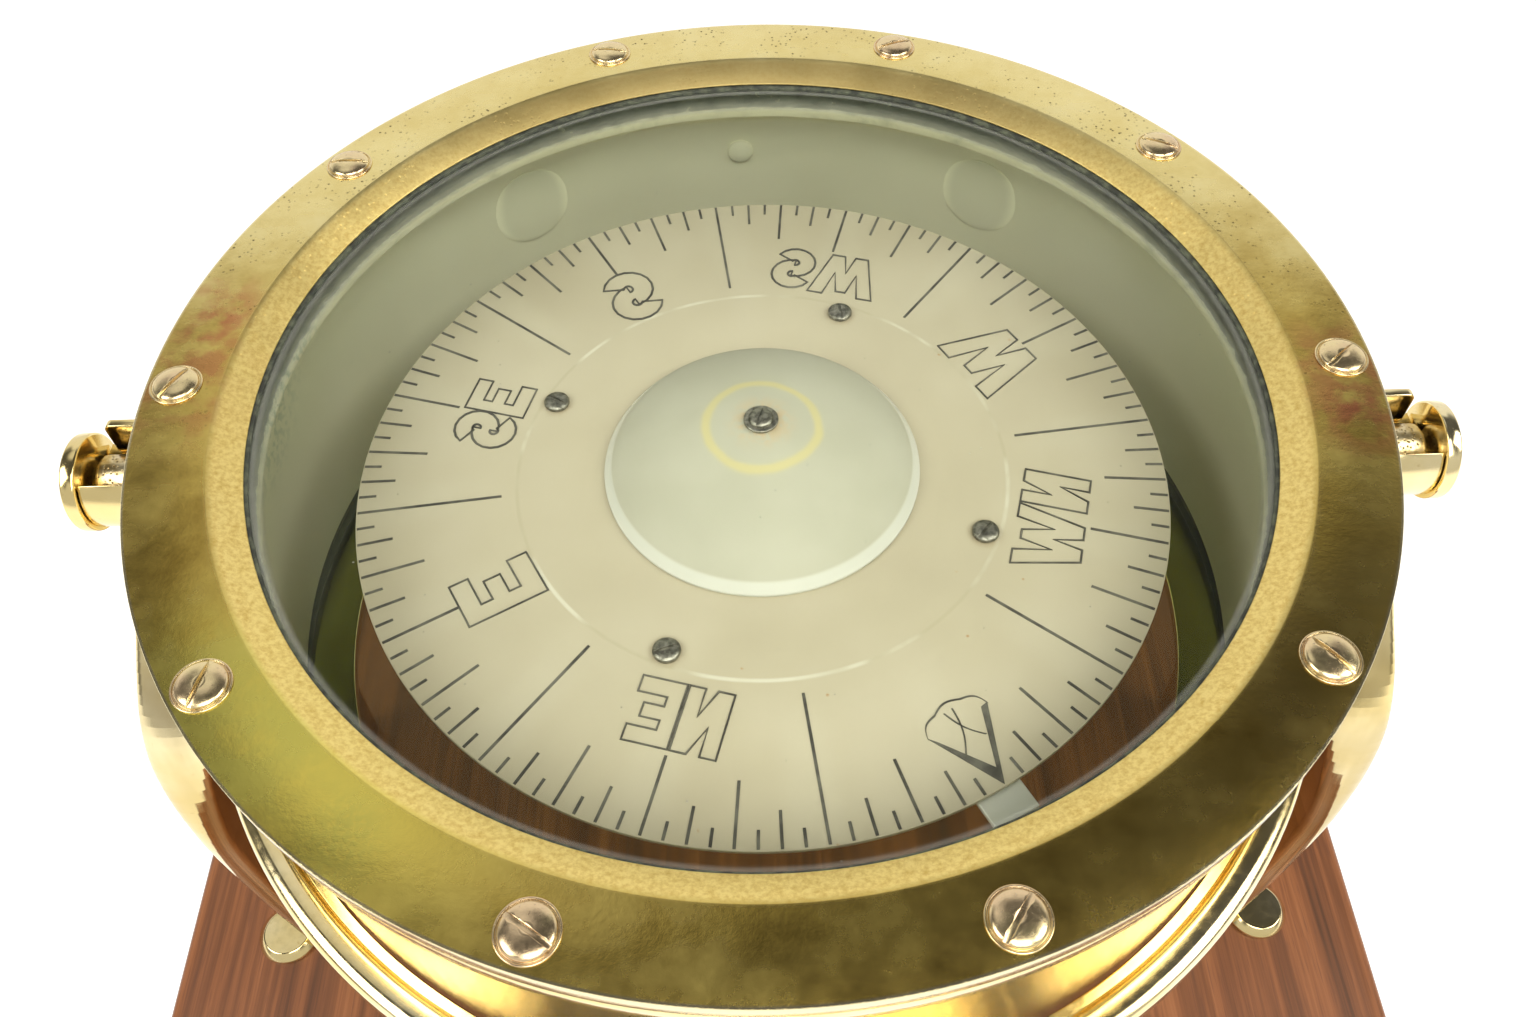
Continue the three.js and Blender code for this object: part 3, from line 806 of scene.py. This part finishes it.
def arm_shape():
    sections = smooth_sections(ARM_SECTIONS, 3)
    low = sections[0]
    bm = box_shape((low[2], -low[1], -1), (low[3], low[1], 0))
    others = [f for f in bm.faces if f.normal.z < 0.5]
    bmesh.ops.delete(bm, geom=others, context="FACES")
    bevel(bm, list(bm.verts), ARM_CORNER, 6, "VERTICES")
    bmesh.ops.translate(bm, vec=(0, 0, ARM_BOTTOM), verts=bm.verts)
    face = bm.faces[:]
    for section in sections[1:]:
        grown = bmesh.ops.extrude_face_region(bm, geom=face)["geom"]
        face = [g for g in grown if isinstance(g, bmesh.types.BMFace)]
        rim = [g for g in grown if isinstance(g, bmesh.types.BMVert)]
        old_mid, new_mid = (low[2] + low[3]) / 2, (section[2] + section[3]) / 2
        stretch = ((section[3] - section[2]) / (low[3] - low[2]), section[1] / low[1], 1)
        bmesh.ops.translate(bm, vec=(-old_mid, 0, section[0] - low[0]), verts=rim)
        bmesh.ops.scale(bm, vec=stretch, verts=rim)
        bmesh.ops.translate(bm, vec=(new_mid, 0, 0), verts=rim)
        low = section
    bmesh.ops.holes_fill(bm, edges=[e for e in bm.edges if e.is_boundary])
    bmesh.ops.recalc_face_normals(bm, faces=bm.faces)
    return carve(bm, [along_x(rod(SADDLE_R, TOOL_IN, TOOL_OUT), 1)])


arm = arm_shape()
for side, label in SIDES:
    piece = moved(arm.copy(), scaled=(side, 1, 1))
    hand_over(f"{label}_cast_arm", piece, "stand", streaky, [f"{label}_arm"], 42)
arm.free()

# %% [markdown]
# ## Bearings
# A bearing is a short tube whose top is open, so that the bowl's pin can be dropped in.
# The tube is carved: a bore, a slot above it, and the far wall taken lower. A thicker disc
# closes its outer end, and an upright keeper plate stands on the far wall.

# %% Bearings, caps and keeper plates
CUP_LOW, CUP_HIGH = span("right_bearing")
CUP_R = CUP_HIGH.y
SLOT_HALF = 6.0


def bearing_shape():
    tube = along_x(rod(CUP_R, CUP_LOW.x, CUP_HIGH.x, 72), 1)
    bore = along_x(rod(SLOT_HALF, TOOL_IN, TOOL_OUT), 1)
    above = AXIS_Z + 20
    slot = box_shape((TOOL_IN, -SLOT_HALF, AXIS_Z), (TOOL_OUT, SLOT_HALF, above))
    far_wall = box_shape((TOOL_IN, 0, AXIS_Z + 1), (TOOL_OUT, 12, above))
    bm = carve(tube, [bore, slot, far_wall])
    return round_edges(bm, 0.25, segments=2)


def cap_shape():
    low, high = span("right_bearing_cap")
    r = high.y
    profile = [(0, low.x), (r, low.x), (r, high.x), (r - 3.2, high.x)]
    profile += [(r - 4.0, high.x - 0.5), (0, high.x - 0.5)]
    bm = turn(profile, 96, closed=False)
    return along_x(round_edges(bm, 0.45, segments=3), 1)


def keeper_shape():
    low, high = span("right_keeper_plate")
    bm = box_shape(low, high)
    outer_top = [v for v in bm.verts if v.co.x > high.x - 0.1 and v.co.z > high.z - 0.1]
    corner = [e for e in bm.edges if all(v in outer_top for v in e.verts)]
    bevel(bm, corner, 1.4, 6)
    return round_edges(bm, 0.3, segments=3)


BEARING_PARTS = {"bearing": bearing_shape, "bearing_cap": cap_shape, "keeper_plate": keeper_shape}
for kind, make in BEARING_PARTS.items():
    shape = make()
    for side, label in SIDES:
        piece = moved(shape.copy(), scaled=(side, 1, 1))
        name = f"{label}_{kind}"
        hand_over(name + "_finished", piece, "stand", polished, [name])
    shape.free()

# %% [markdown]
# ## Side pins and studs
# The pins are plain turned bars with a stepped shoulder against the bowl. The studs are
# low discs with a broad bevel that catches the light.

# %% Side pins and studs
PIN_LOW, PIN_HIGH = span("right_pin")
PIN_R = 5.1
SHOULDER_R = 9.0

for side, label in SIDES:
    x0 = PIN_LOW.x
    profile = [
        (0, x0),
        (SHOULDER_R, x0),
        (SHOULDER_R, x0 + 1.7),
        (7.4, x0 + 3.0),
        (PIN_R + 0.4, x0 + 3.6),
        (PIN_R, x0 + 4.4),
        (PIN_R, PIN_HIGH.x - 0.7),
        (PIN_R - 0.7, PIN_HIGH.x),
        (0, PIN_HIGH.x),
    ]
    pin = along_x(round_edges(turn(profile, 72, closed=False), 0.25), side)
    hand_over(f"{label}_side_pin", pin, "bowl", pin_brass, [f"{label}_pin"])

for label in ["left_front", "left_back", "right_front", "right_back"]:
    low, high = span(label + "_stud")
    r = (high.x - low.x) / 2
    profile = [(0, low.z), (r, low.z), (r, low.z + 1.0), (r - 1.9, high.z)]
    profile += [(r - 2.2, high.z), (0, high.z - 0.15)]
    stud = round_edges(turn(profile, 72, closed=False), 0.22)
    node = label + "_stud"
    centre = middle_of(node)
    stud = moved(stud, (centre.x, centre.y, 0))
    hand_over(node + "_disc", stud, "stand", polished, [node])

# %% [markdown]
# ## Slotted screws
# Every screw is the same kind of head in another size: a low dome with a slot sawn across
# it. One head is carved, then copied to each place and turned to its own angle.

# %% Slotted screws


def screw_head(radius, height, slot_wide, slot_deep, rim=0.0):
    """A domed head that stands on height 0, with its slot along X and a thin raised rim round it."""
    crown = []
    for k in range(7):
        share = k / 6
        crown.append((radius * cos(share * pi / 2 * 0.98), height * (0.30 + 0.70 * sin(share * pi / 2))))
    foot = [(0, 0), (radius, 0)]
    if rim:
        foot = [(0, 0), (radius + rim, 0), (radius + rim, 0.12), (radius + rim - 0.1, 0.22)]
        foot += [(radius + 0.25, 0.22), (radius + 0.2, 0.06), (radius, 0.06)]
    profile = foot + crown + [(0, height)]
    bm = turn(profile, 48, closed=False)
    half = slot_wide / 2
    slot = box_shape((-radius - 1, -half, height - slot_deep), (radius + 1, half, height + 1))
    return round_edges(carve(bm, [slot]), 0.07, segments=1, sharper_than=55)


def place_screws(head, nodes, angles, body, finish, upside_down=False):
    """Puts a copy of the head on each node, with its slot turned to an angle in degrees."""
    for node, angle in zip(nodes, angles):
        kind, number = node.rsplit("_", 1)
        copy = moved(head.copy(), turned=radians(angle))
        if upside_down:
            moved(copy, turned=pi, axis="X")
        centre = middle_of(node)
        moved(copy, (centre.x, centre.y, HEAD_UNDER[kind]))
        hand_over(f"{kind}_head_{number}", copy, body, finish, [node], 50)
    head.free()


HEAD_UNDER = {
    "bezel_screw": TOP + 0.04,
    "card_screw": CARD_TOP + GAP,
    "bottom_ring_screw": span("bottom_ring_screw_1")[1].z,
}
BEZEL_SCREWS = [f"bezel_screw_{i:02d}" for i in range(1, 11)]
BEZEL_SLOT_ANGLES = [40, 152, 20, 172, 178, 62, 78, -35, 55, -52]
RING_SCREWS = [f"bottom_ring_screw_{i}" for i in [1, 2, 3, 4]]

place_screws(
    screw_head(3.95, 1.25, 0.80, 0.75, rim=0.6), BEZEL_SCREWS, BEZEL_SLOT_ANGLES,
    "bowl", screw_metal,
)
place_screws(
    screw_head(2.5, 1.15, 0.55, 0.5), CARD_SCREWS, [50, 100, 150, 200], "card", steel
)
place_screws(
    screw_head(3.1, 1.9, 0.7, 0.9), RING_SCREWS, [40, 80, 120, 160],
    "bowl", screw_metal, upside_down=True,
)

# %% [markdown]
# ## Bowl, bezel and rings
# These are all half sections on the lathe. The bowl's wall carries a flange on top, and
# the bezel is bolted to it over the rubber gasket. Low on the wall sits a heavy ring with
# a shallow groove inside it, and under the bowl another ring holds the bottom glass.

# %% Bowl wall
FLANGE_TOP = span("bowl_shell")[1].z
FLANGE_LOW = FLANGE_TOP - 4
FLANGE_R = span("bowl_shell")[1].x
WALL_LOW = span("bowl_shell")[0].z
GLASS_LOW = span("top_glass")[0].z
GLASS_R = span("top_glass")[1].x
SEAT_R = 88.5  # ledge under the top pane

wall = turn(
    [
        (GLASS_R + GAP, FLANGE_TOP), (FLANGE_R, FLANGE_TOP), (FLANGE_R, FLANGE_LOW),
        (WALL_R + 1, FLANGE_LOW), (WALL_R + 0.3, FLANGE_LOW - 0.3), (WALL_R, FLANGE_LOW - 1),
        (WALL_R, WALL_LOW), (WALL_IN, WALL_LOW), (WALL_IN, TOP - 13.5), (SEAT_R, TOP - 11.5),
        (SEAT_R, GLASS_LOW - GAP), (GLASS_R + GAP, GLASS_LOW - GAP),
    ],
    180,
)
hand_over("bowl_wall", round_edges(wall, 0.35), "bowl", bowl_metal, ["bowl_shell"])

# %% Bosses and plug on the inside of the wall
BOSS_R = 9.5
PLUG_R = 3.0


def wall_disc(radius, thick, azimuth_deg, height, dome):
    """A disc that stands on the inside of the wall and faces the middle of the bowl."""
    profile = [(0, -1.2), (radius, -1.2), (radius, 0.2)]
    profile += [(radius * cos(k * pi / 12), 0.2 + dome * sin(k * pi / 12)) for k in range(1, 6)]
    profile += [(0, 0.2 + dome)]
    disc = turn(profile, 64, closed=False)
    moved(disc, turned=-pi / 2, axis="Y")
    moved(disc, (WALL_IN - thick, 0, height))
    return moved(disc, turned=radians(azimuth_deg))


for name, azimuth in [("right_boss", 57.5), ("left_boss", 122.5)]:
    boss = wall_disc(BOSS_R, 0.1, azimuth, TOP - 29.4, 0.5)
    hand_over(name, boss, "bowl", bowl_metal, [])
plug_end = wall_disc(PLUG_R, 0.4, 92.0, TOP - 26.6, 0.9)
hand_over("plug_inner_end", plug_end, "bowl", bowl_metal, [])

low, high = span("filler_plug")
plug_r = (high.x - low.x) / 2
plug_slot = box_shape((-20, -0.7, low.y + 2.2), (20, 0.7, high.y + 1))
profile = [(0, low.y), (plug_r, low.y), (plug_r, high.y - 0.8), (plug_r - 0.9, high.y), (0, high.y)]
plug_body = round_edges(turn(profile, 64, closed=False), 0.2)
plug = moved(carve(plug_body, [plug_slot]), turned=-pi / 2, axis="X")
moved(plug, (0, 0, (low.z + high.z) / 2))
hand_over("filler_plug_finished", plug, "bowl", screw_metal, ["filler_plug"])

# %% Bezel, gasket and glass
LIP_DEEP = 3.0

bezel = turn(
    [
        (FLAT_R, TOP), (BEZEL_R, TOP), (BEZEL_R, BEZEL_LOW.z), (LIP_R, BEZEL_LOW.z),
        (LIP_R, TOP - LIP_DEEP),
    ],
    220,
)
bezel = round_edges(bezel, 0.35, 3, 15)
hand_over("bezel_finished", bezel, "bowl", bezel_brass, ["bezel_ring"], 25)

GASKET_IN = 88.2
low, high = span("top_gasket")
gasket = round_edges(hoop(GASKET_IN, high.x, low.z, high.z, 160), 0.15)
hand_over("gasket_finished", gasket, "bowl", rubber, ["top_gasket"])

for place, finish in [("top", top_glass_finish), ("bottom", bottom_glass_finish)]:
    low, high = span(place + "_glass")
    pane = round_edges(rod(high.x, low.z, high.z, 160), 0.3)
    hand_over(place + "_pane", pane, "bowl", finish, [place + "_glass"])

# %% Ballast ring and bottom ring
low, high = span("ballast_ring")
ballast = turn(
    [
        (WALL_R + GAP, high.z - 1.8), (WALL_R + 2.4, high.z - 1.8),
        (WALL_R + 2.9, high.z - 0.3), (WALL_R + 3.6, high.z), (high.x - 2.0, high.z),
        (high.x - 0.6, high.z - 0.6), (high.x, high.z - 2.0), (high.x, low.z + 2.0),
        (high.x - 2.0, low.z), (WALL_R + GAP, low.z),
    ],
    200,
)
ballast = round_edges(ballast, 0.4, 3, 20)
hand_over("ballast_ring_finished", ballast, "bowl", polished, ["ballast_ring"], 30)

RING_IN = 99.8  # the bottom pane lies inside this
RING_LIP = 89  # and rests on a lip that reaches in to this
low, high = span("bottom_ring")
ring = turn(
    [
        (RING_IN, high.z), (high.x, high.z), (high.x, low.z + 1.5), (high.x - 1.5, low.z),
        (RING_LIP + 1, low.z), (RING_LIP, low.z + 1.0), (RING_LIP, low.z + 4.0),
        (RING_IN, low.z + 4.0),
    ],
    180,
)
ring = round_edges(ring, 0.3)
hand_over("bottom_ring_finished", ring, "bowl", polished, ["bottom_ring"])

low, high = span("pivot_post")
post = turn(
    [
        (0, low.z), (16, low.z), (16, low.z + 2.2), (6, low.z + 3.2), (3.4, low.z + 6),
        (2.4, low.z + 14), (2.0, high.z - 12), (0.7, high.z - 0.6), (0, high.z),
    ],
    64,
    closed=False,
)
hand_over("pivot_post_finished", round_edges(post, 0.2), "bowl", steel, ["pivot_post"])

# %% [markdown]
# ## Card and float
# The card is a thin disc, open in the middle where the float sits. The float is a shallow
# dome with a bevelled rim, closed by a small screw on top. A ring under the card takes
# the four card screws, and a short tab sticks out under the north mark.

# %% Card, frame ring, float and tab
CARD_HOLE_R = 12
card = round_edges(hoop(CARD_HOLE_R, CARD_R, CARD_LOW.z, CARD_TOP, 200), 0.15)
hand_over("card_sheet", card, "card", card_plastic, ["compass_card"])

FRAME_IN = 39.5
low, high = span("card_frame")
ring = round_edges(hoop(FRAME_IN, high.x, low.z, high.z, 120), 0.3)
hand_over("card_frame_finished", ring, "card", steel, ["card_frame"])

low, high = span("float_dome")
DOME_R = high.x
RIM_HIGH = 2.6
CROWN_R = DOME_R - 1.7
crown_high = high.z - low.z - RIM_HIGH
ball_r = (CROWN_R**2 + crown_high**2) / (2 * crown_high)
DOME_ARC = 18
crown = []
for k in range(DOME_ARC + 1):
    r = CROWN_R * (1 - k / DOME_ARC)
    crown.append((r, high.z - ball_r + sqrt(ball_r**2 - r * r)))
hollow = [(max(r - 1.4, 0), z - 1.5) for r, z in reversed(crown)]
foot = [(DOME_R - 3.5, low.z), (DOME_R, low.z), (DOME_R, low.z + 0.5)]
dome = turn([*foot, *crown, *hollow], 120)
hand_over("float_dome_finished", dome, "card", float_plastic, ["float_dome"], 24)

low, high = span("dome_screw")
washer = round_edges(rod(high.x, low.z, low.z + 0.5), 0.15)
cap_screw = moved(screw_head(2.3, 0.95, 0.5, 0.45), (0, 0, low.z + 0.45), turned=radians(70))
cap_screw = carve(washer, [cap_screw], "UNION")
hand_over("dome_screw_finished", cap_screw, "card", steel, ["dome_screw"], 50)

TAB_AT = radians(-61.3)
low, high = span("north_tab")
tab = box_shape((70, -4.2, low.z), (81.5, 4.2, high.z))
tab = moved(round_edges(tab, 0.3, 3), turned=TAB_AT)
hand_over("north_tab_finished", tab, "card", float_plastic, ["north_tab"])

# %% [markdown]
# ## Marks on the card
# The card has 128 ticks in four lengths, and its letters are outlines, not filled. They
# are drawn to be read in a mirror from below, so from above they run the wrong way round
# and their tops face the middle. Ticks are thin bars; a letter is a closed outline drawn
# with a thin round line.

# %% Ticks
TICKS = 128
INK_Z = CARD_TOP + 0.03
TICK_TALL = 0.10
TICK_WIDE = 0.52
LETTER_FEET = 61.2


def tick_start(number):
    """How near the middle a tick starts, in millimetres. North, at 0, has its own mark."""
    if number % 16 == 0:
        return LETTER_FEET + 1.0
    if number % 8 == 0:
        return 49.5
    if number % 4 == 0:
        return 64.8
    return 69.8 if number % 2 == 0 else 73.0


def join_all(parts):
    """Puts several shapes into one."""
    whole = bmesh.new()
    for part in parts:
        piece = shape_object("part", part)
        whole.from_mesh(piece.data)
        bpy.data.meshes.remove(piece.data)
    return whole


ticks = []
half = TICK_WIDE / 2
for number in range(1, TICKS):
    bar = box_shape((tick_start(number), -half, INK_Z), (CARD_R - 0.3, half, INK_Z + TICK_TALL))
    ticks.append(moved(bar, turned=NORTH - 2 * pi * number / TICKS))
print(len(ticks), "ticks")
hand_over("card_ticks", join_all(ticks), "card", ink, [])

# %% Letter outlines
# Each outline is drawn 15 mm tall, from its lower left corner, as it would be read.
LETTER_TALL = 15.0
LETTER_LINE = 0.26


def s_outline():
    """An S as a thick stroke: two arcs with their outer and inner edges."""
    bend, thick = 3.15, 2.15
    low_mid = Vector((4.9, thick + bend))
    high_mid = Vector((4.9, LETTER_TALL - thick - bend))

    def arc(mid, r, start, end):
        angles = [radians(start + (end - start) * k / 12) for k in range(13)]
        return [(mid.x + r * cos(a), mid.y + r * sin(a)) for a in angles]

    one_edge = arc(high_mid, bend + thick, 25, 270) + arc(low_mid, bend - thick, 90, -155)
    other_edge = arc(low_mid, bend + thick, -155, 90) + arc(high_mid, bend - thick, 270, 25)
    return one_edge + other_edge


LETTERS = {
    "N": (9.6, [(0, 0), (0, 15), (3.5, 15), (6.2, 8.4), (6.2, 15), (9.6, 15), (9.6, 0), (6.2, 0),
                (3.4, 6.6), (3.4, 0)]),
    "E": (9.6, [(0, 0), (0, 15), (9.6, 15), (9.6, 11.2), (3.3, 11.2), (3.3, 9.0), (7.6, 9.0),
                (7.6, 5.8), (3.3, 5.8), (3.3, 3.6), (9.6, 3.6), (9.6, 0)]),
    "W": (17.0, [(0, 15), (3.9, 15), (5.7, 6.6), (7.3, 13.6), (9.8, 13.6), (11.4, 6.6), (13.1, 15),
                 (17.0, 15), (13.3, 0), (9.9, 0), (8.5, 6.4), (7.1, 0), (3.7, 0)]),
    "S": (9.8, s_outline()),
}
WORDS = [("NE", 1), ("E", 2), ("SE", 3), ("S", 4), ("SW", 5), ("W", 6), ("NW", 7)]


def outline_shape(outlines, line_radius):
    """Closed outlines on the card, drawn with a thin round line."""
    curve = bpy.data.curves.new("outlines", "CURVE")
    curve.dimensions = "3D"
    curve.bevel_depth = line_radius
    curve.bevel_resolution = 1
    for points in outlines:
        spline = curve.splines.new("POLY")
        spline.points.add(len(points) - 1)
        spline.use_cyclic_u = True
        for place, point in zip(points, spline.points):
            point.co = (*place, 1)
    return worked_out(add_object("outlines", curve))


def on_card(point, word_angle, feet, size, left):
    """Where a point of a letter lies: feet towards the rim, reading clockwise."""
    across = left + point[0] * size
    out = feet - point[1] * size
    middle = Vector((cos(word_angle), sin(word_angle)))
    clockwise = Vector((sin(word_angle), -cos(word_angle)))
    spot = middle * out + clockwise * across
    return (spot.x, spot.y, INK_Z + 0.02)


for word, eighth in WORDS:
    size = 1.0 if len(word) == 1 else 0.82
    feet = LETTER_FEET + (0.8 if len(word) == 1 else 0)
    between_letters = 0.4
    wide = sum(LETTERS[letter][0] * size for letter in word) + between_letters * (len(word) - 1)
    left = -wide / 2
    outlines = []
    for letter in word:
        letter_wide, outline = LETTERS[letter]
        angle = NORTH - eighth * pi / 4
        outlines.append([on_card(p, angle, feet, size, left) for p in outline])
        left += letter_wide * size + between_letters
    letters = outline_shape(outlines, LETTER_LINE)
    hand_over("card_letters_" + word, letters, "card", ink, [])

# %% North mark
# An arrow head whose tip touches the rim: two heavy sides, a scalloped inner end and two
# thin lines inside.


def north_plate(points):
    """A thin filled shape on the card, from points of (across, out from the middle)."""
    bm = bmesh.new()
    spots = [on_card((x, -y), NORTH, 0, 1, 0) for x, y in points]
    face = bm.faces.new([bm.verts.new(spot) for spot in spots])
    grown = bmesh.ops.extrude_face_region(bm, geom=[face])["geom"]
    top = [g for g in grown if isinstance(g, bmesh.types.BMVert)]
    bmesh.ops.translate(bm, vec=(0, 0, TICK_TALL), verts=top)
    bmesh.ops.recalc_face_normals(bm, faces=bm.faces)
    return bm


def strip(start, end, depth, wide):
    """A thin strip from start to end that sags by a depth to its right."""
    start, end = Vector(start), Vector(end)
    along = end - start
    away = Vector((along.y, -along.x)).normalized()
    there = [start + along * (k / 8) + away * depth * sin(pi * k / 8) for k in range(9)]
    return north_plate([*there, *(p + Vector(wide) for p in reversed(there))])


TIP, LEFT_CORNER, RIGHT_CORNER = (0, CARD_R - 0.3), (6.0, 63.4), (-6.4, 62.9)
LEFT_PEAK, RIGHT_PEAK = (2.6, 60.4), (-2.8, 60.0)
NOTCH = (-0.6, 73.2)
north_parts = [
    north_plate([TIP, RIGHT_CORNER, (-5.0, 63.1), NOTCH]),
    north_plate([TIP, NOTCH, (5.0, 64.6), LEFT_CORNER]),
    strip(LEFT_CORNER, LEFT_PEAK, -0.9, (0, 0.35)),
    strip(LEFT_PEAK, RIGHT_PEAK, -0.9, (0, 0.35)),
    strip(RIGHT_PEAK, RIGHT_CORNER, -0.9, (0, 0.35)),
    strip((0.9, 61.0), (-2.9, 67.6), 0.6, (0.28, 0)),
    strip((-0.8, 60.9), (2.2, 69.0), -0.7, (0.28, 0)),
]
hand_over("north_mark", join_all(north_parts), "card", ink, [])

# %% [markdown]
# ## Floor and light
# The compass stands on a white floor in a white room. The room is bright low down and
# darker overhead, as a studio is, because polished metal shows the room: the near side of
# the bezel mirrors the dark ceiling and its far side the bright wall. A glow high on the
# left brightens the bezel's near left, and dark flags at both sides give the arms and
# bearings their contrast. A wide lamp behind the eye lights the card, and one at each side
# lights the inside of the wall.

# %% Floor
floor_paint = Finish("floor_white")
cloud = floor_paint.noise(300, detail=2)
white = floor_paint.mix(cloud, rgb(0.50, 0.50, 0.49), rgb(0.54, 0.54, 0.53))
floor_material = floor_paint.painted(
    Base_Color=white, Roughness=0.7, Emission_Color=white, Emission_Strength=1.35
)
floor_bm = bmesh.new()
bmesh.ops.create_grid(floor_bm, x_segments=4, y_segments=4, size=3000)
bmesh.ops.scale(floor_bm, vec=(MM, MM, MM), verts=floor_bm.verts)
floor = shape_object("floor", floor_bm)
floor.data.materials.append(floor_material)

# %% Room
WALL_GLOW = 0.86
SOFTBOX_GLOW = 0.75
GLOW_EVERYWHERE = 0.08
SOFTBOX_WAY = (-0.294, 0.404, 0.866)
ROOM_WHITE = rgb(1.0, 0.99, 0.965)

room = Finish("white_room")
world = bpy.data.worlds.new("white_room")
bpy.context.scene.world = world
world.use_nodes = True
bpy.data.materials.remove(room.material)
room.tree = world.node_tree
room.tree.nodes.clear()
direction = room.node("TexCoord")["Generated"]
parts = room.node("SeparateXYZ", {}, {0: direction})
sideways, ahead, up = parts["X"], parts["Y"], parts["Z"]
sideways = room.node("Math", {"operation": "ABSOLUTE"}, {0: sideways})[0]
depth = room.node("Math", {"operation": "ABSOLUTE"}, {0: ahead})[0]
turned = room.step(sideways - 0.62 * depth, 0, 0.12) * room.step(up, 0.42, 0.60)
flags = room.step(sideways, 0.80, 0.90) * room.step(up, -0.05, 0.10)
wall_light = (1 - room.step(up - depth, 0.06, 0.22)) * (1 - 0.85 * turned) * (1 - 0.7 * flags)
facing = room.node("VectorMath", {"operation": "DOT_PRODUCT"}, {0: direction, 1: SOFTBOX_WAY})["Value"]
softbox = room.step(facing, 0.962, 0.995)
behind = 1 - room.step(ahead, -0.5, 0.1)
light_level = WALL_GLOW * wall_light * (1 - 0.3 * behind) + SOFTBOX_GLOW * softbox + GLOW_EVERYWHERE
background = room.node("Background", {}, {"Color": ROOM_WHITE, "Strength": light_level})[0]
room.node("OutputWorld", {}, {"Surface": background})

# %% Lamps
LAMP_DISTANCE = 1.5
LAMP_COLOUR = (1.0, 0.98, 0.94)


def lamp(name, towards, size, watts):
    """A square soft lamp that faces the bowl from a direction."""
    data = bpy.data.lights.new(name, "AREA")
    data.size = size
    data.energy = watts
    data.color = LAMP_COLOUR
    light = add_object(name, data)
    middle = Vector((0, 0, TOP * MM))
    light.location = middle + Vector(towards).normalized() * LAMP_DISTANCE
    light.rotation_mode = "QUATERNION"
    light.rotation_quaternion = (light.location - middle).to_track_quat("Z", "Y")


lamp("lamp_behind_eye", (0.15, -0.85, 1.1), 0.9, 18)
lamp("lamp_left", (-1.0, -0.4, 0.9), 0.7, 11)
lamp("lamp_right", (1.0, -0.3, 0.9), 0.7, 11)
bpy.context.scene.view_settings.view_transform = "Standard"
